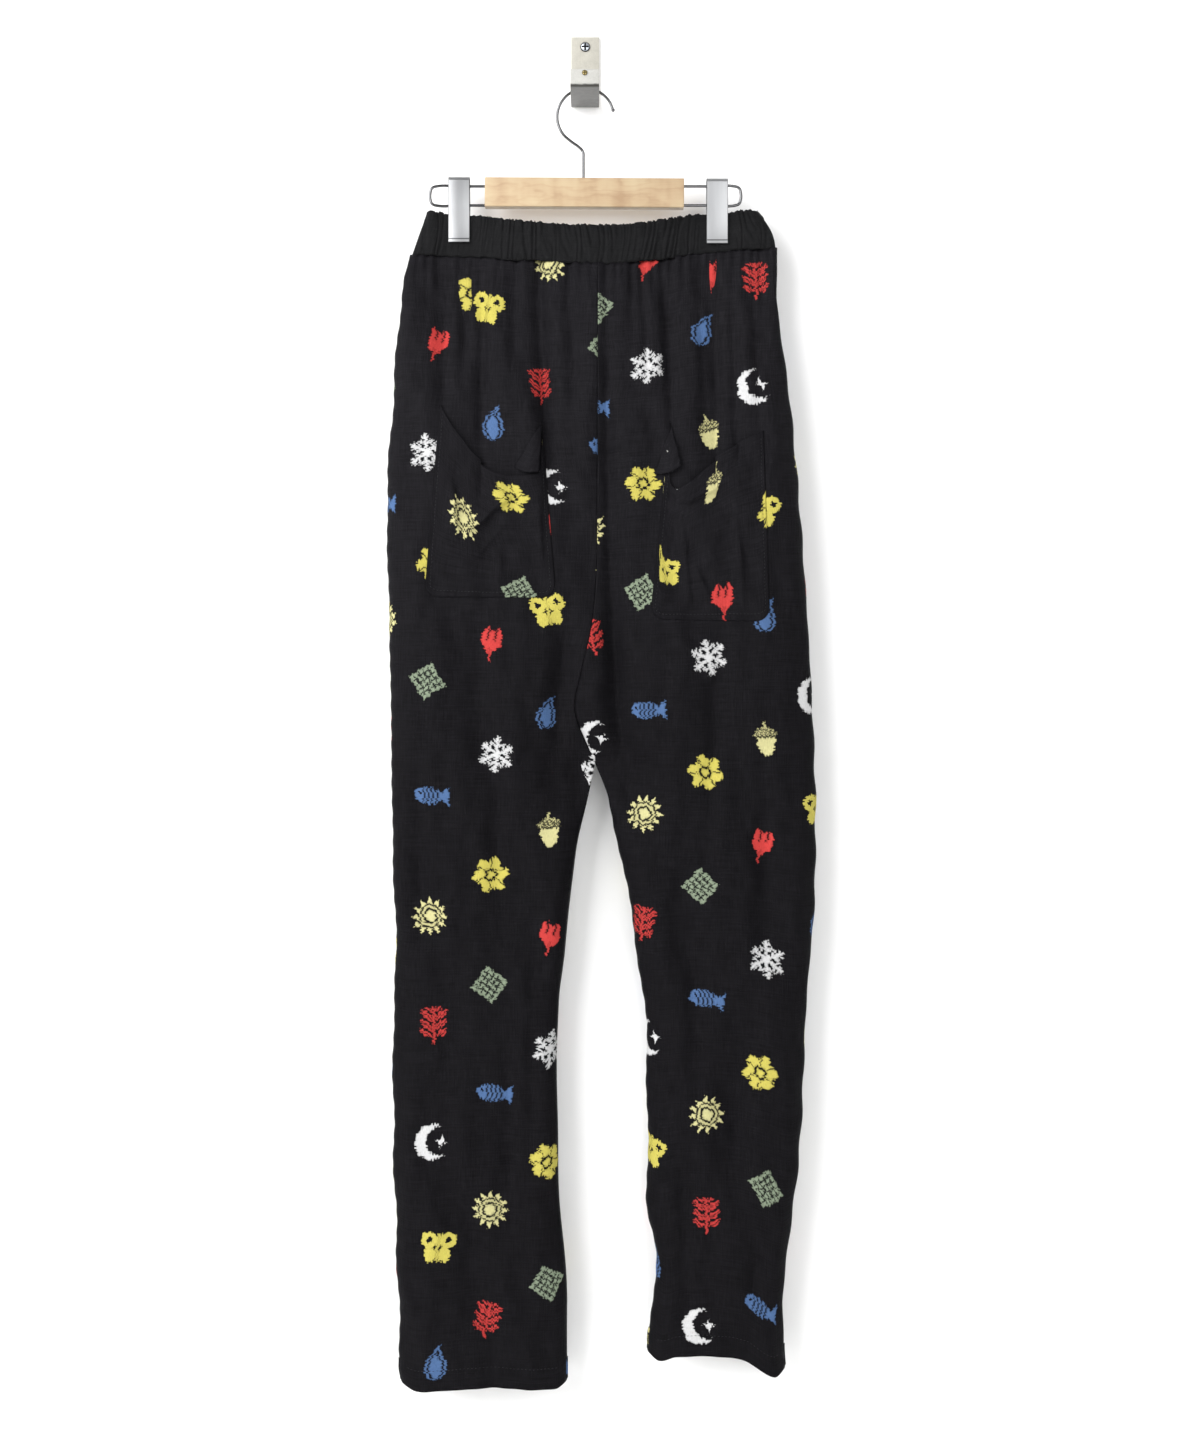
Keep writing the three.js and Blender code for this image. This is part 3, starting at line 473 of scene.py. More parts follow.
def panel_shape(panel):
    def shape(s, t):
        across = s - 0.3 * np.sin(2 * math.pi * s) / (2 * math.pi)
        body = held(t / (1 - TURN_ROWS))
        up = held((t - (1 - TURN_ROWS)) / TURN_ROWS)
        leg = np.abs(panel.height(across, np.full_like(across, 2.0)) - CROTCH[0])
        down = 2 * body - up * HEM_TALL / leg
        places = panel.place(across, down)
        fold = 0.5 * (1 - np.cos(math.pi * held(up / 0.12)))
        inside = np.abs(places[..., 1] - HANG_Y) - HEM_OPEN * fold
        turned = HANG_Y + panel.outward * np.maximum(inside, 0.05)
        places[..., 1] = np.where(up > 0, turned, places[..., 1])
        places[..., 2] -= hump(up / 0.12) * 1.1
        return places
    return shape


LENGTHS = ("top", "hip", "knee", "shin")
GRAIN_X = {"left": -95, "right": 115}
LAY = {("left", "front"): (12, -6), ("right", "front"): (251, -41),
       ("left", "back"): (133, 55), ("right", "back"): (402, 22)}
cloth_pieces = {}
for (half, face), panel in PANELS.items():
    cloth_pieces[half, face] = grid_sheet(
        f"cloth_{face}_{half}", PANEL_CELLS, LEG_CLOTH, panel_shape(panel),
        (0, panel.outward, 0), LAY[half, face], GRAIN_X[half])

# %% [markdown]
# ## The waistband
# Plainer black cloth is drawn up on wide elastic: close uneven gathers, crowded at the top
# edge, where the cloth is folded over, and pressed flat under the clips. It's one ring,
# and its ends slope in at the sides.

# %% Waistband
BAND_LEFT, BAND_LEFT_IN, BAND_RIGHT, BAND_RIGHT_IN = -151.8, 13.3, 166.6, 15.6
BAND_CELLS = (1000, 26)


def gathers(x, up, side):
    """Rounded crests with sharp valleys between them, of uneven width and height."""
    seed = 5 if side < 0 else 6
    wander = ripples(x, up * 20, seed, [(53, 0.8), (29, 0.62), (17, 0.4), (9.5, 0.14)])
    broad = np.abs(np.sin(math.pi * (x / 7.3 + wander)))
    fine = np.abs(np.sin(math.pi * (x / 3.4 + 1.7 * wander + 0.4)))
    high = 1.05 + ripples(x, up * 9, seed + 4, [(41, 0.42), (19, 0.34)])
    crowd = mix(0.45, 1.1, smooth((up - 0.55) / 0.4)) * smooth(up / 0.12)
    press = np.minimum(np.abs(x - CLIP_X[0]), np.abs(x - CLIP_X[1]))
    free = mix(0.25, 1, smooth((press - PINCH_REACH) / 12))
    return (1.25 * high * broad * mix(0.75, 1, np.abs(2 * up - 1)) + crowd * fine) * free


def band_shape(s, t):
    """s runs round the ring, t from inside the top edge over it and down to the seam."""
    turn = 2 * s
    side = np.where(turn < 1, -1, 1)
    share = np.where(turn < 1, turn, 2 - turn)
    share = share - 0.3 * np.sin(2 * math.pi * share) / (2 * math.pi)
    over = held(1 - t / 0.2)  # 1 inside, 0 once over the top
    up = np.where(t < 0.2, 1 - 0.3 * np.maximum(over - 0.35, 0), 1 - (t - 0.2) / 0.8)
    left = BAND_LEFT + BAND_LEFT_IN * up
    right = BAND_RIGHT - BAND_RIGHT_IN * up * up
    x = mix(left, right, share)
    end = np.minimum(x - left, right - x)
    bump = gathers(x, up, -1) * (side < 0) + gathers(x, up, 1) * (side > 0)
    low = seam_line(x) - 1.4  # the fronts and backs lap over the band
    high = read(BAND_TOP, x)
    beside = np.minimum(np.abs(x - CLIP_X[0]), np.abs(x - CLIP_X[1])) - PINCH_REACH
    knots = 1.5 * np.abs(np.sin(math.pi * (x / 9.1 + 0.7 * np.sin(x / 17.0))))
    knots = knots * smooth(beside / 3) * np.exp(-np.maximum(beside, 0) / 26)
    z = mix(low, high, up) + (0.6 * (bump - 1.2) + knots) * smooth((up - 0.75) / 0.25)
    z = z + np.where(over > 0, 1.1 * hump(over / 0.35), 0)
    stands = band_stands(x) * arc(end / 9) - 1.3 * np.exp(-up * 34 / 1.8)
    stands = stands + bump * smooth(end / 3) - 0.4
    stands = stands - 2.4 * smooth(over / 0.35)
    off = np.maximum(stands, 0.02)
    return np.stack([x, HANG_Y + side * off, z], axis=-1)


waistband = grid_sheet("waistband_cloth", BAND_CELLS, BAND_CLOTH, band_shape, (0, 0, 0), (40, 0))
bm = bmesh.new()
bm.from_mesh(waistband.data)
bmesh.ops.remove_doubles(bm, verts=bm.verts, dist=2e-5)
bmesh.ops.recalc_face_normals(bm, faces=bm.faces)
depths = [(f, f.calc_center_median().y - HANG_Y * MM) for f in bm.faces]
if sum(f.normal.y * y * f.calc_area() for f, y in depths if abs(y) > 3 * MM) < 0:
    bmesh.ops.reverse_faces(bm, faces=bm.faces)
bm.to_mesh(waistband.data)
bm.free()

# %% [markdown]
# ## The patch pockets
# A pocket is a patch sewn to the front on three sides. Its mouth is longer than the cloth
# behind it, so it droops and stands open. Its places are found on the front itself and
# moved out along the front's own surface, so it follows every trough that it crosses.

# %% Finding places on a front


def place_on(panel, x, z):
    """The shares across and down at which a panel passes a place of the front view."""
    across, down = np.full_like(x, 0.5), np.full_like(x, 0.5)
    for _ in range(14):
        top = panel.height(across, np.zeros_like(across))
        down = (z - top) / (CROTCH[0] - top)
        out_x, in_x = panel.edges(down)
        across = held((x - out_x) / (in_x - out_x))
    return across, down


def face_out(panel, across, down):
    """The cloth's outer place and the way straight out of it."""
    step = 0.006
    a, b = panel.place(across - step, down), panel.place(across + step, down)
    c, d = panel.place(across, down - step), panel.place(across, down + step)
    way = np.cross(b - a, d - c)
    way /= np.linalg.norm(way, axis=-1, keepdims=True)
    way *= np.where(way[..., 1:2] * panel.outward < 0, -1, 1)
    return panel.place(across, down), way


print("a front faces", face_out(PANELS["left", "front"], np.array([0.5]), np.array([0.5]))[1])

# %% [markdown]
# Under the drooping mouth the patch buckles, mostly into slanting creases that are steep on
# the side away from the light. Each is listed one by one, as the troughs are.

# %% Pockets
# Corners as (x, z); droop of the mouth as (share across, mm)
POCKETS = {
    "left": {"out_top": (-125.5, -303), "in_top": (-38.5, -317), "out_low": (-139, -470),
             "in_low": (-24.5, -470), "stand": 4,
             "droop": [(0, 0), (0.2, -24), (0.55, -53), (0.93, -47), (1, 0)],
             # creases: x, z, to x, to z, half width, depth
             "creases": [(-57, -377, -107, -420, 6, 5.2), (-64, -402, -98, -440, 7, 2.2),
                         (-116, -366, -109, -424, 5, 3.2), (-72, -425, -74, -466, 7, 2.2),
                         (-40, -380, -35, -455, 5, 3)]},
    "right": {"out_top": (155, -326), "in_top": (73, -318), "out_low": (160, -491),
              "in_low": (56, -489), "stand": 5,
              "droop": [(0, 0), (0.3, -15), (0.6, -38), (0.85, -58), (0.94, -52), (1, 0)],
              "creases": [(123, -371, 87, -389, 5, 4.6), (93, -389, 61, -377, 5, 4.4),
                          (106, -373, 66, -371, 4, 2.6), (95, -440, 110, -476, 6, 4.2),
                          (84, -400, 91, -480, 6, 2.6), (131, -380, 137, -482, 7, 3)]},
}
CORNER, MOUTH, POCKET_HEM = 13, 95, 14
POCKET_CELLS = (84, 112)


def pocket_shape(half):
    shape, panel = POCKETS[half], PANELS[half, "front"]
    (ot_x, ot_z), (it_x, it_z) = shape["out_top"], shape["in_top"]
    (ol_x, ol_z), (il_x, il_z) = shape["out_low"], shape["in_low"]

    def places_at(s, t):
        hem = 0.12  # share of the rows in the turned-in hem of the mouth
        turned = held(1 - t / hem)
        fall = held((t - hem) / (1 - hem))
        top = mix(ot_z, it_z, s) + read(shape["droop"], s)
        near = np.minimum(s, 1 - s) * abs(il_x - ol_x)
        low = mix(ol_z, il_z, s) + CORNER * (1 - arc(near / CORNER))
        wide_hem = POCKET_HEM * np.maximum(turned - 0.15, 0) * smooth(near / 10)
        z = mix(top, low, fall) - wide_hem
        share = (z - ot_z) / (ol_z - ot_z)
        x = mix(mix(ot_x, ol_x, share), mix(it_x, il_x, share), s)
        spot, way = face_out(panel, *place_on(panel, x, z))
        open_ = smooth(1 - (top - z) / MOUTH) * hump(s) ** 0.8
        lift = shape["stand"] * open_ * (1 - fall)
        for x0, z0, x1, z1, wide, deep in shape["creases"]:
            length = math.hypot(x1 - x0, z1 - z0)
            ax, az = (x1 - x0) / length, (z1 - z0) / length
            along = (x - x0) * ax + (z - z0) * az
            off = (x - x0) * az - (z - z0) * ax
            here = hump(along / length) ** 0.8
            width = np.where(off < 0, 0.38, 1.3) * wide  # one side is steep and lies in shade
            ridge = np.exp(-(np.abs(off / width) ** 1.4))
            lift = lift + deep * ridge * here * smooth(near / 12) * smooth((top - z) / 20)
        small = ripples(x, z, 31 + len(half), [(43, 0.7), (26, 0.5)])
        lift = lift + 0.5 * small * smooth(near / 25)
        edge = np.minimum(near, (z - low)) + 1e-6
        lift = np.maximum(lift, 0) * np.where(fall > 0.3, smooth(edge / 9), 1)
        seam = 0.45 * np.exp(-(((edge - 3) / 1.1) ** 2)) * (turned <= 0)
        puff = 0.65 * smooth(edge / 1.6) - seam
        fold = smooth(turned / 0.15)
        spot = spot + way * (0.35 + puff + lift - 1.9 * fold * smooth(near / 6))[..., None]
        spot[..., 2] += hump(turned / 0.15) * 0.8
        return spot
    return places_at


# The pockets lie low on the flat cloth, so the painted shade that darkens the ground below the
# waist reaches them too.
for half, lay in (("left", (95, -206)), ("right", (190, -167))):
    cloth_pieces[half, "pocket"] = grid_sheet(
        f"pocket_cloth_{half}", POCKET_CELLS, POCKET_CLOTH, pocket_shape(half), (0, -1, 0), lay)

# %% [markdown]
# At the inner end of each mouth the hem is folded over outwards and lies as a small
# three-cornered flap. It rises towards the right, so the light from the left catches it.

# %% Folded hem ends
# top, left foot and right foot, as (x, z)
FLAPS = {"left": ((-38.4, -319), (-60.5, -357), (-41.5, -362)),
         "right": ((75, -321), (60.6, -363), (83, -357))}
FLAP_CELLS = (16, 26)


def flap_shape(half):
    panel = PANELS[half, "front"]
    (top_x, top_z), (left_x, left_z), (right_x, right_z) = FLAPS[half]

    def places_at(s, t):
        share = mix(0.05, 1, t)
        x = mix(top_x, mix(left_x, right_x, s), share)
        foot = mix(left_z, right_z, s) - 10 * s * (1 - s)
        z = mix(top_z, foot, share)
        spot, way = face_out(panel, *place_on(panel, x, z))
        lift = 1.1 + share * (3.6 * s + 1.2 * np.sin(math.pi * s))
        return spot + way * lift[..., None]
    return places_at


flaps = {half: grid_sheet(f"pocket_flap_{half}", FLAP_CELLS, POCKET_CLOTH, flap_shape(half),
                          (0, -1, 0), (16, 22)) for half in HALVES}

# %% [markdown]
# ## Sewing
# Thread shows as rows of small stitches: round each pocket, along both hems, and a white bar
# of thread at a pocket corner. One stitch is a few faces drawn out along the seam.

# %% Stitches


def stitch_row(name, points, ways, long, thick, tilt=0.0):
    """One small pointed grain of thread at each place, lying along the line."""
    bm = bmesh.new()
    points, ways = np.asarray(points, float), np.asarray(ways, float)
    ahead = np.roll(points, -1, axis=0) - points
    ahead[-1] = ahead[-2]
    for spot, way, run in zip(points, ways, ahead):
        run = run / np.linalg.norm(run)
        side = np.cross(run, way)
        side /= np.linalg.norm(side)
        up = np.cross(side, run)
        run = run * math.cos(tilt) + side * math.sin(tilt)
        side = np.cross(run, up)
        grain = Matrix([[*(c * s * MM / 2 for c, s in zip(row, (long, thick, thick))), p * MM]
                        for row, p in zip(np.stack([run, side, up], 1), spot)] + [[0, 0, 0, 1]])
        bmesh.ops.create_icosphere(bm, subdivisions=1, radius=1, matrix=grain)
    bmesh.ops.recalc_face_normals(bm, faces=bm.faces)
    thing = add_mesh(name, bm)
    thing.data.shade_smooth()
    print(name, len(points), "stitches")
    return thing


def sew(name, spots, ways, pitch, long, thick):
    """A row of stitches along a line of places on the cloth, one to a pitch."""
    spots = spots + 0.05 * ways
    run = np.concatenate([[0], np.cumsum(np.linalg.norm(np.diff(spots, axis=0), axis=1))])
    at = np.arange(pitch / 2, run[-1], pitch)
    spaced = [np.stack([np.interp(at, run, a[:, k]) for k in range(3)], 1) for a in (spots, ways)]
    return stitch_row(name, *spaced, long, thick)


def ways_of(places):
    """Ways out of a grid of places that faces the viewer."""
    way = np.cross(np.gradient(places, axis=1), np.gradient(places, axis=0))
    way /= np.linalg.norm(way, axis=-1, keepdims=True) + 1e-9
    return way * np.where(way[..., 1:2] > 0, -1, 1)


sewn = {}
POCKET_STITCH, HEM_STITCH = (3.1, 2.3, 0.5), (3.4, 2.1, 0.42)  # pitch, length, thickness
INSET, FIRST, LAST = 3, 16, 108  # cells in from the pocket's sides, and its first and last row
SIDE_ROWS, END = range(FIRST, LAST), POCKET_CELLS[0] - INSET
PATH = ([(j, INSET) for j in SIDE_ROWS] + [(LAST, i) for i in range(INSET, END)]
        + [(j, END) for j in range(LAST, FIRST - 1, -1)])
ROWS, COLUMNS = np.array(PATH).T
GRID = np.meshgrid(*(np.linspace(0, 1, count + 1) for count in POCKET_CELLS))
for half in HALVES:
    places = pocket_shape(half)(*GRID)
    way = ways_of(places)[ROWS, COLUMNS]
    sewn[half] = sew(f"pocket_stitches_{half}", places[ROWS, COLUMNS], way, *POCKET_STITCH)
    for face in ("front", "back"):
        panel = PANELS[half, face]
        s = np.linspace(0.05, 0.95, 160)
        leg = np.abs(panel.height(s, np.full_like(s, 2.0)) - CROTCH[0])
        spot, way = face_out(panel, s, 2 - (HEM_TALL - 2) / leg)
        sewn[half, face] = sew(f"hem_stitches_{face}_{half}", spot, way, *HEM_STITCH)
corner = places[FIRST, POCKET_CELLS[0] - 2]  # of the right pocket, which came last
tack = np.stack([corner + np.array([dx, -0.9, -dx]) for dx in np.linspace(-1.6, 1.6, 6)])
bar_tack = stitch_row("pocket_bar_tack", tack, np.tile([0.0, -1, 0], (6, 1)), 2.2, 0.7, tilt=0.5)

# %% [markdown]
# ## The hanger
# Plated wire is drawn round: a curve through the bend points with a round section, made a
# mesh at once. The hook wire ends in a small ball, so that it doesn't catch.

# %% Wires
WIRE_R, BALL_R = 1.2, 1.55
BAR_Z, BAR_TALL, BAR_WIDE, SOCKET = -115.4, 25.4, 174, 12


def wire(name, points, tip=None):
    """A round wire through points (x, z) in the hanger's plane, with a ball at its tip."""
    curve = bpy.data.curves.new(name, "CURVE")
    curve.dimensions = "3D"
    curve.bevel_depth, curve.bevel_resolution, curve.resolution_u = WIRE_R * MM, 4, 8
    curve.use_fill_caps = True
    spline = curve.splines.new("BEZIER")
    spline.bezier_points.add(len(points) - 1)
    for knot, (x, z) in zip(spline.bezier_points, points):
        knot.co = (x * MM, HANG_Y * MM, z * MM)
        knot.handle_left_type = knot.handle_right_type = "AUTO"
    drawn = bpy.data.objects.new(name, curve)
    scene.collection.objects.link(drawn)
    round_mesh = bpy.data.meshes.new_from_object(
        drawn.evaluated_get(bpy.context.evaluated_depsgraph_get()))
    bm = bmesh.new()
    bm.from_mesh(round_mesh)
    bpy.data.objects.remove(drawn)
    bpy.data.meshes.remove(round_mesh)
    bmesh.ops.remove_doubles(bm, verts=bm.verts, dist=1e-6)
    if tip:
        ball = Matrix.Translation((tip[0] * MM, HANG_Y * MM, tip[1] * MM))
        bmesh.ops.create_uvsphere(bm, u_segments=16, v_segments=10, radius=BALL_R * MM,
                                  matrix=ball)
    bmesh.ops.recalc_face_normals(bm, faces=bm.faces)
    thing = add_mesh(name, bm)
    thing.data.shade_smooth()
    print(name, len(thing.data.polygons), "faces")
    return thing


hook_points = [(0.5 + 24.8 * math.cos(math.radians(a)), -48.2 + 24.8 * math.sin(math.radians(a)))
               for a in np.arange(14, 236.1, 18.5)]
hook_points += [(-4.2, -75.6), (-2.1, -78.2), (-1.4, -80.6), (-1.4, -84),
                (-1.4, BAR_Z + BAR_TALL / 2 - SOCKET + 3)]
hook_wire = wire("hanger_hook", hook_points, tip=hook_points[0])

LOOP_HIGH, LOOP_LOW, BEND = -109, -125.7, 5


def loop_points(out):
    way = -1 if out > 0 else 1
    start = -way * (BAR_WIDE / 2 + 1 - SOCKET)
    bow = BEND * (1 - math.sqrt(0.5))
    half = [(start, 0), (out + way * 25, 0), (out + way * BEND, 0), (out + way * bow, bow),
            (out, BEND)]
    return ([(x, LOOP_HIGH - d) for x, d in half] + [(x, LOOP_LOW + d) for x, d in half[::-1]])


loops = {half: wire(f"hanger_loop_{half}", loop_points(out))
         for half, out in zip(HALVES, (-135.2, 136.2))}

# %% [markdown]
# The bar is a planed length of wood with its edges barely broken: a block with small round
# edges. It's turned by a third of a degree, because its right end hangs a little lower.

# %% Wood bar


def part_smooth(thing, flat):
    """Faces under flat mm2 are the rounds between the flats, and only they are smooth."""
    for face in thing.data.polygons:
        face.use_smooth = face.area < flat * MM * MM
    thing.data.set_sharp_from_angle(angle=math.radians(40))
    print(thing.name, len(thing.data.polygons), "faces")
    return thing


bm = bmesh.new()
bmesh.ops.create_cube(bm, size=1)
bmesh.ops.scale(bm, verts=bm.verts, vec=Vector((BAR_WIDE, 11, BAR_TALL)) * MM)
bmesh.ops.bevel(bm, geom=bm.edges[:], affect="EDGES", offset=0.8 * MM, segments=3,
                profile=0.5, material=-1)
bmesh.ops.rotate(bm, verts=bm.verts, cent=(0, 0, 0),
                 matrix=Matrix.Rotation(math.radians(0.35), 3, "Y"))
bmesh.ops.translate(bm, verts=bm.verts, vec=Vector((-0.5, HANG_Y, BAR_Z)) * MM)
bar = part_smooth(add_mesh("hanger_bar", bm), 150)

# %% [markdown]
# The bent-sheet clips, the wall hook and its screws have the right shape already in the
# packed model, but their edges are knife sharp. A copy with its loose triangles merged takes
# a small round on every real edge, which is what catches the light.

# %% Rounded copies


def rounded(node, name, radius, angle=28, flat=60):
    """Rounds the edges that turn by more than the angle; flat is as in part_smooth."""
    bm = bmesh.new()
    bm.from_mesh(bpy.data.objects[node].data)
    bmesh.ops.remove_doubles(bm, verts=bm.verts, dist=2e-6)
    bmesh.ops.dissolve_limit(bm, angle_limit=math.radians(1), verts=bm.verts, edges=bm.edges)
    sharp = [e for e in bm.edges if len(e.link_faces) == 2
             and e.calc_face_angle(0) > math.radians(angle)]
    bmesh.ops.bevel(bm, geom=sharp, affect="EDGES", offset=radius * MM, segments=3,
                    profile=0.5, material=-1, clamp_overlap=True)
    return part_smooth(add_mesh(name, bm), flat)


clips = {half: rounded(f"clip_{half}", f"hanger_clip_{half}", 0.22, flat=20)
         for half in HALVES}
wall_hook = rounded("wall_hook", "painted_wall_hook", 0.45)
screws = {"wall": rounded("screw_wall", "zinc_screw", 0.12, angle=50, flat=4),
          "lip": rounded("screw_lip", "brass_screw", 0.08, angle=50, flat=1.5)}

# %% [markdown]
# ## Finishes
# A figure woven into cloth is a formula over the flat cloth: arithmetic on the thread's
# place says where the coloured thread comes to the face. Math nodes do that arithmetic, and
# a small class lets each figure be written as a line of it.

# %% Arithmetic in nodes


def put(value, port):
    """Links a Value to a port, or sets a plain number or colour on it."""
    if isinstance(value, Value):
        value.tree.links.new(value.socket, port)
    else:
        port.default_value = (*value, 1) if isinstance(value, tuple) else value


class Value:
    """What comes out of a socket; arithmetic on it adds Math nodes."""

    def __init__(self, socket):
        self.tree, self.socket = socket.id_data, socket

    def do(self, operation, *others, clamp=False):
        node = self.tree.nodes.new("ShaderNodeMath")
        node.operation, node.use_clamp = operation, clamp
        for port, value in zip(node.inputs, (self, *others)):
            put(value, port)
        return Value(node.outputs[0])

    __add__ = __radd__ = partialmethod(do, "ADD")
    __sub__ = partialmethod(do, "SUBTRACT")
    __mul__ = __rmul__ = partialmethod(do, "MULTIPLY")
    __truediv__ = partialmethod(do, "DIVIDE")
    __or__ = partialmethod(do, "MAXIMUM")  # joined with
    __and__ = partialmethod(do, "MINIMUM")  # only where both are
    size = partialmethod(do, "ABSOLUTE")
    floor = partialmethod(do, "FLOOR")
    sine = partialmethod(do, "SINE")
    cosine = partialmethod(do, "COSINE")
    every = partialmethod(do, "FLOORED_MODULO")  # repeats 0 to a length

    def __neg__(self):
        return self * -1

    def __rsub__(self, other):
        return -self + other

    def root(self):
        return self.do("MAXIMUM", 0.0).do("SQRT")

    def held(self, more=0.0):
        """With more added, kept between 0 and 1."""
        return self.do("ADD", more, clamp=True)


print("operations on a value:", [k for k in vars(Value) if not k.startswith("__")])

# %% [markdown]
# Every finish asks for the same few things: a place on the piece, a noise read at a place,
# two colours mixed, a colour shaded, and a group with its ends. Each gets a short helper.

# %% Places, noise, mixes and groups


def parts(socket, times=1000):
    """The three numbers of a place: in mm, or in metres times something else."""
    split = socket.id_data.nodes.new("ShaderNodeSeparateXYZ")
    socket.id_data.links.new(socket, split.inputs[0])
    return [Value(port) * times for port in split.outputs]


def on_object(tree, times=1000):
    """Where a point of the piece is."""
    return parts(tree.nodes.new("ShaderNodeTexCoord").outputs["Object"], times)


def texture(kind, *place):
    """A texture node read at a place, and its first output."""
    tree = place[0].tree
    node, joined = tree.nodes.new(kind), tree.nodes.new("ShaderNodeCombineXYZ")
    for port, value in zip(joined.inputs, place):
        put(value, port)
    tree.links.new(joined.outputs[0], node.inputs["Vector"])
    return node, Value(node.outputs[0])


def noise(*place, detail=2):
    node, value = texture("ShaderNodeTexNoise", *place)
    node.inputs["Scale"].default_value, node.inputs["Detail"].default_value = 1, detail
    return value


def mixed(tree, factor, a, b, blend="MIX"):
    node = tree.nodes.new("ShaderNodeMix")
    node.data_type, node.blend_type = "RGBA", blend
    for label, value in (("Factor", factor), ("A", a), ("B", b)):
        put(value, node.inputs[label])
    return Value(node.outputs["Result"])


def shaded(colour, shade):
    """A colour times a shade that varies."""
    grey = shade.tree.nodes.new("ShaderNodeCombineColor")
    for port in grey.inputs:
        put(shade, port)
    return mixed(shade.tree, 1, colour, Value(grey.outputs[0]), "MULTIPLY")


FLOAT, COLOUR, VECTOR = "NodeSocketFloat", "NodeSocketColor", "NodeSocketVector"


def group(name, inputs, **outputs):
    """A node group with its inputs (label, kind, default): its tree and its two ends."""
    tree = bpy.data.node_groups.new(name, "ShaderNodeTree")
    for label, kind, default in inputs:
        port = tree.interface.new_socket(label, in_out="INPUT", socket_type=kind)
        if default is not None:
            port.default_value = default
    for label, kind in outputs.items():
        tree.interface.new_socket(label, in_out="OUTPUT", socket_type=kind)
    start, end = tree.nodes.new("NodeGroupInput"), tree.nodes.new("NodeGroupOutput")
    return tree, start.outputs, end.inputs


# %% [markdown]
# The figures: crescents, leaf sprigs, suns, fish, lattices, roses, snow crystals, tulips,
# acorns, drops and moths, about 34 mm tall, one to a cell of a slanting layout. Each is
# drawn for this cloth. Thread ends make their edges ragged.

# %% Figures on the flat cloth
FIGURE_MM = 16.5  # half height of a figure
CELL_X, CELL_Y, SLANT = 53.0, 99.0, 36.0
THREAD_MM = 1.3  # the steps of a figure's ragged edge


def figures(x, y, r, a):
    """Each figure is above 0 inside its outline; x and y run from -1 to 1."""
    s, half_turn = x.size(), math.pi

    def disc(cx, cy, rx, ry, of=None):
        dx, dy = ((of or x) - cx) / rx, (y - cy) / ry
        return 1 - (dx * dx + dy * dy).root()

    def line(value, half):
        return half - value.size()

    def stripes(value, length, half):
        return line(value.every(length) - length / 2, half)

    crescent = disc(-0.1, 0, 0.92, 0.95) & -disc(0.3, 0.12, 0.74, 0.76)
    spark = 0.66 - (x - 0.38).size().root() - (y - 0.1).size().root()
    vein = (y - s * 0.7).every(0.5) - 0.25
    leaf = (s * (0.72 - s)).root() * 0.52 - vein.size() & (0.7 - s) & -line(vein, 0.02)
    sprig = (leaf & (0.92 - y) & (y + 0.6)) | (line(x, 0.075) & (y + 1) & (0.9 - y))
    point = 1 - ((a * (6 / half_turn)).every(1) * 2 - 1).size()
    sun = ((0.56 - r) & -line(r - 0.36, 0.05)) | ((point * 0.42 + 0.6 - r) & (r - 0.63))
    fish = disc(-0.14, 0, 0.8, 0.46) | (((x - 0.42) * 0.95 - y.size()) & (0.98 - x))
    scale = stripes(x + y * y * 0.6, 0.24, 0.035) & (x + 0.42) & (0.4 - x)
    fish = fish & -disc(-0.62, 0.1, 0.08, 0.08) & -scale
    net = stripes(x + y, 0.4, 0.045) | stripes(x - y, 0.4, 0.045)
    lattice = (1 - (s + y.size())) & -(net & (0.86 - (s + y.size())))
    petals = (a * 3).cosine().size() * 0.3 + 0.68 - r
    slit = stripes(a * (3 / half_turn) + 0.25, 1, 0.035) & (r - 0.42)
    rose = petals & -line(r - 0.28, 0.055) & -slit
    arm = ((a / (half_turn / 3)).every(1) - 0.5).size() * (half_turn / 3)
    u, v = arm.cosine() * r, arm.sine() * r
    barbs = [line(u - v * 0.6 - at, half) & (end - v)
             for at, half, end in ((0.42, 0.08, 0.34), (0.7, 0.07, 0.22))]
    crystal = ((0.1 - v) & (1 - u)) | barbs[0] | barbs[1] | (0.24 - r)
    cup = disc(0, 0.32, 0.56, 0.62) & (0.62 + ((x + 0.93).every(0.62) - 0.31).size() * 0.9 - y)
    blade = line(y + 0.5 - s * 1.1, 0.17) & (0.56 - s) & (s - 0.03)
    cup = cup & -(line(s - 0.2, 0.035) & (y - 0.2))
    tulip = cup | blade | (line(x, 0.06) & (y + 1) & (-y))
    cross = stripes(x + y, 0.24, 0.03) | stripes(x - y, 0.24, 0.03)
    cap = disc(0, 0.12, 0.64, 0.56) & (y - 0.17) & -cross
    nut = disc(0, 0.05, 0.5, 0.95) & (0.1 - y)
    acorn = cap | nut | (line(x, 0.07) & (y - 0.6) & (0.98 - y))
    lift = (y + 0.1).do("MAXIMUM", 0.0)
    low = (y + 0.35) / 0.6
    girth = (1 - low * low).root() * 0.6 & (0.1 - y) * 99
    girth = girth | (0.62 - lift * 0.62) & (y + 0.12) * 99
    bent = girth - (x - lift * lift * 0.5).size()
    paisley = bent & (0.95 - y) & (y + 0.93) & -line(bent - 0.2, 0.045)
    wing = disc(0.5, 0.36, 0.46, 0.44, of=s) | disc(0.38, -0.4, 0.32, 0.4, of=s)
    moth = (wing & -disc(0.52, 0.38, 0.16, 0.15, of=s)) | (line(x, 0.09) & (0.75 - y.size()))
    return [crescent | spark, sprig, sun, fish, lattice, rose, crystal, tulip, acorn, paisley,
            moth]


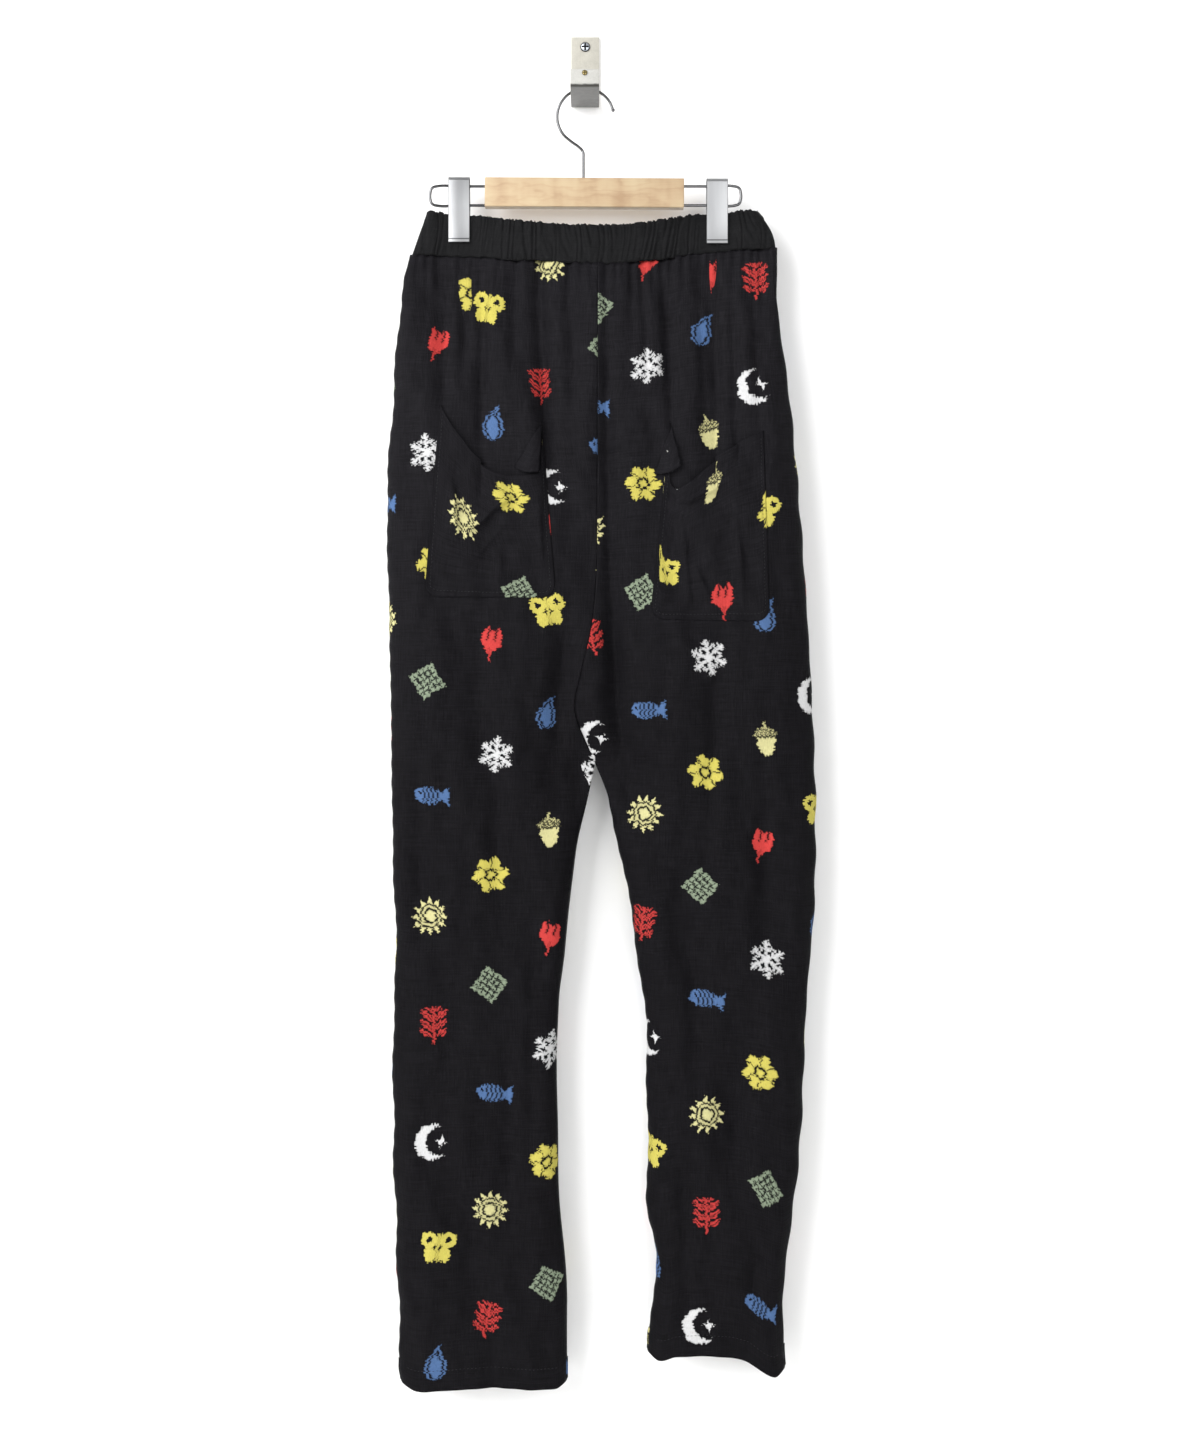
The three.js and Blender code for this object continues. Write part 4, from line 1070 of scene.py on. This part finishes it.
WHITE, RED, CREAM = (0.53, 0.53, 0.535), (0.45, 0.043, 0.04), (0.5, 0.47, 0.23)
BLUE, SAGE, YELLOW = (0.067, 0.125, 0.26), (0.21, 0.255, 0.18), (0.465, 0.41, 0.087)
THREADS = [WHITE, RED, CREAM, BLUE, SAGE, YELLOW, WHITE, RED, CREAM, BLUE, YELLOW]

# %% [markdown]
# The group finds a point's cell, turns and shifts it by a random amount of that cell's own,
# and draws the one figure that the cell holds. Its threads are picked out in the colours of
# the list, a little uneven, with painted shade that darkens them at the figure's edge, as if
# they sank into the ground there.

# %% Figures laid out
woven_figures, start, end = group("woven figures", [("Cloth", VECTOR, None)],
                                  Thread=FLOAT, Colour=COLOUR)
U, V, _ = parts(start["Cloth"])


def jitter(cell_u, cell_v, seed):
    return texture("ShaderNodeTexWhiteNoise", cell_u, cell_v, seed)[1] - 0.5


column = (U / CELL_X).floor()
V2 = V - column * SLANT
row = (V2 / CELL_Y).floor()
local_u = U - (column + 0.5) * CELL_X - jitter(column, row, 1.0) * 10
local_v = V2 - (row + 0.5) * CELL_Y - jitter(column, row, 2.0) * 12
tilt = jitter(column, row, 3.0) * 0.5
cos, sin = tilt.cosine(), tilt.sine()
frayed_u = local_u + jitter((V / THREAD_MM).floor(), column, 4.0) * 2.6
frayed_v = local_v + jitter((U / THREAD_MM).floor(), row, 5.0) * 2.2
px = (frayed_u * cos - frayed_v * sin) / FIGURE_MM
py = (frayed_u * sin + frayed_v * cos) / FIGURE_MM
radius, angle = (px * px + py * py).root(), py.do("ARCTAN2", px) + math.pi
kind = (column * 3 + row).every(len(THREADS))
shown = None
for k, figure in enumerate(figures(px, py, radius, angle)):
    here = figure & (kind.do("COMPARE", k, 0.5) * 4 - 2)
    shown = here if shown is None else shown | here
put((shown * 40).held(0.5), end["Thread"])
ramp = woven_figures.nodes.new("ShaderNodeValToRGB")
ramp.color_ramp.interpolation = "CONSTANT"
stops = ramp.color_ramp.elements
while len(stops) < len(THREADS):
    stops.new(0.5)
for k, colour in enumerate(THREADS):
    stops[k].position, stops[k].color = k / len(THREADS), (*colour, 1)
put((kind + 0.5) / len(THREADS), ramp.inputs[0])
floats = noise(U * 2.6, V * 0.35, detail=3)
# painted shade: the figure's thread colours darken towards its edge, as shade in a relief
edge_painted_shade = (shown * 11).held()
put(shaded(Value(ramp.outputs[0]), (floats * 0.8 + 0.6) * (edge_painted_shade * 0.45 + 0.55)), end["Colour"])
print("woven figures:", len(woven_figures.nodes), "nodes")

# %% [markdown]
# The ground is a fine plain weave, nearly black, with a thread every half millimetre and
# slightly thicker threads here and there. The waistband uses the same weave, a little coarser
# and more even.

# %% Weave
weave, start, end = group(
    "weave", [("Cloth", VECTOR, None), ("Thread mm", FLOAT, 0.55), ("Slub", FLOAT, 0.25)],
    Height=FLOAT, Shade=FLOAT)
U, V = (place / Value(start["Thread mm"]) for place in parts(start["Cloth"])[:2])
over = (U * math.pi).sine() * (V * math.pi).sine() * 0.5 + 0.5
slubs, lines = noise(U * 0.02, V * 0.45, detail=4), noise(U * 0.5, V * 0.03, 3.0, detail=3)
thick = (slubs + lines - 1) * Value(start["Slub"])
put(over * 0.4 + thick * 2, end["Height"])
put(over * 0.12 + thick * 1.6 + 1, end["Shade"])
print("weave:", len(weave.nodes), "nodes")

# %% [markdown]
# Each cloth places the weave with its own pitch, and the figured one lays the figures over
# it. The ground has painted shade: it is darker far below the waist, where the legs take
# less light than the top.

# %% Cloth finishes


def place_group(tree, used, **values):
    node = tree.nodes.new("ShaderNodeGroup")
    node.node_tree = used
    for label, value in values.items():
        put(value, node.inputs[label.replace("_", " ")])
    return [Value(port) for port in node.outputs]


def finish(shader, colour, height, distance):
    """Colours the shader and bumps it by height times a distance in mm."""
    put(colour, shader.inputs["Base Color"])
    bump = colour.tree.nodes.new("ShaderNodeBump")
    put(distance * MM, bump.inputs["Distance"])
    put(height, bump.inputs["Height"])
    put(Value(bump.outputs[0]), shader.inputs["Normal"])


def cloth_finish(name, ground, pitch, slub, figured, painted_shade_low):
    """The last argument is how much painted shade darkens the ground far below the waist."""
    made, tree, shader = new_material(name, Roughness=0.6, Specular_IOR_Level=0.03)
    lay = tree.nodes.new("ShaderNodeUVMap")
    lay.uv_map = "cloth"
    cloth = Value(lay.outputs[0])
    height, shade = place_group(tree, weave, Cloth=cloth, Thread_mm=pitch, Slub=slub)
    # painted shade: the ground grows darker with distance below the waist on the flat cloth
    painted_shade_share = (parts(cloth.socket, 1)[1] * -2.2 - 0.15).held()
    colour = shaded(ground, shade * (1 - painted_shade_share * painted_shade_share * (3 - painted_shade_share * 2) * painted_shade_low))
    if figured:
        thread, woven = place_group(tree, woven_figures, Cloth=cloth)
        colour = mixed(tree, thread, colour, woven)
    finish(shader, colour, height, 0.25)
    return made


figured_cloth = cloth_finish("figured cloth", (0.0088, 0.0083, 0.0099), 0.55, 0.8, True, 0.33)
band_cloth = cloth_finish("waistband cloth", (0.0092, 0.0092, 0.0098), 0.6, 0.5, False, 0.0)
print("cloths:", figured_cloth.name, "and", band_cloth.name)

# %% [markdown]
# Thread is a little glossier than cloth. Black thread for the seams, white for the bar tack.

# %% Thread finishes
TWIST = 2400  # grains of the twist in a metre


def thread_finish(name, colour):
    made, tree, shader = new_material(name, Roughness=0.6, Specular_IOR_Level=0.3)
    twist = noise(*on_object(tree, TWIST))
    finish(shader, shaded(colour, twist * 0.5 + 0.75), twist, 0.08)
    return made


black_thread = thread_finish("black thread", (0.009, 0.009, 0.011))
white_thread = thread_finish("white thread", (0.5, 0.5, 0.48))
print("threads:", black_thread.name, "and", white_thread.name)

# %% [markdown]
# ## Metal, wood and paint
# Plated metal is never one grey: handling leaves faint rub marks and the plating has a
# soft orange-peel. One wear group gives that, and each metal uses it at its own scale.

# %% Wear group
wear_group, start, end = group("handling wear", [("Scale", FLOAT, 200.0), ("Stretch", FLOAT, 1.0)],
                               Wear=FLOAT, Fine=FLOAT)
size, stretch = Value(start["Scale"]), Value(start["Stretch"])
X, Y, Z = (place * size for place in on_object(wear_group, 1))
put(noise(X, Y, Z / stretch, detail=5), end["Wear"])
put(noise(X * 6, Y * 6, Z * 6 / stretch), end["Fine"])
print("handling wear:", len(wear_group.nodes), "nodes")

# %% [markdown]
# Painted shade darkens the slots and head rims of the screws, and on each clip a line along
# the bend above the lip, the bottom edge and the side edges. The upper part of the left clip
# is dimmed too. A few lines of arithmetic on the place do that.

# %% Metals


def metal(name, colour, rough, rough_range, scale, stretch, bump, rim=1.0, floor=None,
          foot=None):
    """rim is the tint of the reflection at a grazing angle. floor is how far from the wall, in mm,
    the slot floor and head rim of a screw begin; nearer the wall they get painted shade. foot
    gives the heights of the left and right clips' feet, from which the clips' painted shade
    lines are placed."""
    made, tree, shader = new_material(name, Metallic=1.0, Specular_Tint=(rim, rim, rim))
    marks, fine = place_group(tree, wear_group, Scale=scale, Stretch=stretch)
    put(marks * rough_range + rough, shader.inputs["Roughness"])
    shade = marks * 0.3 + fine * 0.1 + 0.8
    if floor or foot:
        x, y, z = on_object(tree)
    if floor:
        # painted shade: the slot floor and the rim of a screw's head, nearer the wall than floor,
        # are darkened
        shade = shade * ((-y - floor) * 2).held(0.12)
    if foot:
        right = x.do("GREATER_THAN", 0.0)
        above = z - foot[0] - right * (foot[1] - foot[0])
        aside = (x - CLIP_X[0] - right * (CLIP_X[1] - CLIP_X[0])).size()
        # painted shade: a dark line along the bend above each clip's lip, at its bottom edge and
        # along its side edges
        painted_edge_shade = (0.75 - (above - 3.1).size() | 0.55 - above | aside - 8.7) * 3
        shade = shade * (1 - painted_edge_shade.held() * 0.72)
        # painted shade: the upper part of the left clip is dimmed, standing in for a darker
        # reflection there
        shade = shade * (1 - (above * 0.05 - 1.6).held() * 0.22 * (1 - right))
    finish(shader, shaded(colour, shade), fine, bump)
    return made


clip_steel = metal("satin plated sheet", (0.42, 0.425, 0.435), 0.34, 0.06, 60, 12.0, 0.005,
                   foot=(-158.8, -160.0))
wire_steel = metal("bright plated wire", (0.14, 0.14, 0.145), 0.08, 0.12, 400, 3.0, 0.01,
                   rim=0.0)
screw_zinc = metal("zinc plate", (0.6, 0.64, 0.7), 0.28, 0.25, 500, 1.0, 0.02, floor=3.5)
screw_brass = metal("dull brass", (0.34, 0.27, 0.12), 0.35, 0.3, 500, 1.0, 0.02, floor=63.2)

# %% [markdown]
# The bar is pale close-grained wood, planed and left bare: long faint streaks along the
# bar, with soft clouded patches where the figure of the wood turns.

# %% Wood
bare_wood, tree, shader = new_material("pale bare wood", Roughness=0.5, Specular_IOR_Level=0.35)
X, Y, Z = on_object(tree)
clouds = noise(X * 0.03, Y * 0.05, Z * 0.08, detail=3)
flames = noise(X * 0.06, Y * 0.02, Z * 0.011, detail=2)
pores = noise(X * 0.05, Y * 1.4, Z * 2.2, detail=5)
ring = (((Z + clouds * 46 + X * 0.05) * 0.55).sine() * 0.5 + 0.5).do("POWER", 3.0)
grain = (clouds - 0.5) * 1.2 + (flames - 0.5) * 1.7 - ring * 0.24 + (pores - 0.5) * 0.45 + 0.62
ramp = tree.nodes.new("ShaderNodeValToRGB")
stops = ramp.color_ramp.elements
stops[0].color, stops[1].color = (0.34, 0.225, 0.13, 1), (0.48, 0.375, 0.235, 1)
stops.new(0.5).color = (0.43, 0.312, 0.19, 1)
put(grain, ramp.inputs[0])
finish(shader, Value(ramp.outputs[0]), pores, 0.05)
print("wood:", len(tree.nodes), "nodes")

# %% [markdown]
# The wall hook is old flat bar. Its plate is dull beige paint gone speckled, its front lip is
# chalky white, and faces that point down, such as the underside of its arm, are dark grey and
# partly metallic.

# %% Old paint
old_paint, tree, shader = new_material("old cream paint", Specular_IOR_Level=0.3)
marks, fine = place_group(tree, wear_group, Scale=160.0, Stretch=1.0)
upward = parts(tree.nodes.new("ShaderNodeNewGeometry").outputs["Normal"], 1)[2]
lip = (-on_object(tree)[1] - 50).do("MULTIPLY", 0.2, clamp=True)
# faces that point down are made dark grey, partly metallic and smoother
down_facing = (-upward * 4 - 1.6 + (marks - 0.5) * 2).held()
paint = mixed(tree, lip, (0.43, 0.414, 0.364), (0.435, 0.43, 0.405))
paint = shaded(paint, marks * 0.35 + fine * 0.25 + 0.7)
put(down_facing * 0.6, shader.inputs["Metallic"])
put(marks * 0.2 + 0.5 - down_facing * 0.2, shader.inputs["Roughness"])
finish(shader, mixed(tree, down_facing, paint, (0.082, 0.082, 0.078)), marks + fine * 0.5, 0.12)
print("old paint:", len(tree.nodes), "nodes")

# %% [markdown]
# ## Handing the pieces over
# Each piece gets its finish and the body that it rides on, and the solids that it replaces
# are hidden.

# %% Pieces, bodies and slots


def hand_over(piece, look, slot, *nodes):
    piece.data.materials.clear()
    piece.data.materials.append(look)
    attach(piece, "root")
    if nodes:
        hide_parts(*nodes)
    print(piece.name, "is", look.name, "and replaces", nodes or "no solid")


for (half, kind), piece in cloth_pieces.items():
    if kind == "pocket":
        hand_over(piece, figured_cloth, "figured_cloth", f"pocket_{half}")
    else:
        hand_over(piece, figured_cloth, "figured_cloth",
                  *(f"{kind}_{half}_{length}" for length in LENGTHS))
hand_over(waistband, band_cloth, "waistband_cloth", "waistband")
for row in sewn.values():
    hand_over(row, black_thread, "figured_cloth")
hand_over(bar_tack, white_thread, "figured_cloth")
hand_over(hook_wire, wire_steel, "wire_steel", "hook_wire")
for half in HALVES:
    hand_over(flaps[half], figured_cloth, "figured_cloth")
    hand_over(loops[half], wire_steel, "wire_steel", f"frame_wire_{half}")
    hand_over(clips[half], clip_steel, "clip_steel", f"clip_{half}")
hand_over(bar, bare_wood, "bar_wood", "wood_bar")
hand_over(wall_hook, old_paint, "hook_enamel", "wall_hook")
hand_over(screws["wall"], screw_zinc, "screw_zinc", "screw_wall")
hand_over(screws["lip"], screw_brass, "screw_brass", "screw_lip")

# %% [markdown]
# The flat sizes are those of the cut that shows, measured along the cloth. For each sheet the
# loop works out how it hangs, what it rests on, and the stitches, folded ends and bar tack on it.

# %% Flat sizes of the cloth
# flat width and length in metres, and the area of the cut
FLAT = {(half, face): ((0.215, 1.02), 0.19) for face in ("front", "back") for half in HALVES}
FLAT["left", "pocket"] = (0.125, 0.185), 0.016
FLAT["right", "pocket"] = (0.115, 0.185), 0.016
for (half, kind), (flat, area) in FLAT.items():
    if kind == "pocket":
        how, rests, along_with = "stretched", [f"cloth_front_{half}"], [sewn[half], flaps[half]]
    else:
        how, rests, along_with = "hung", ["waistband_cloth"], [sewn[half, kind]]
    if (half, kind) == ("right", "pocket"):
        along_with.append(bar_tack)
print("flat sizes of", len(FLAT) + 1, "sheets")

# %% [markdown]
# The looks may stand only a little proud of the solids.
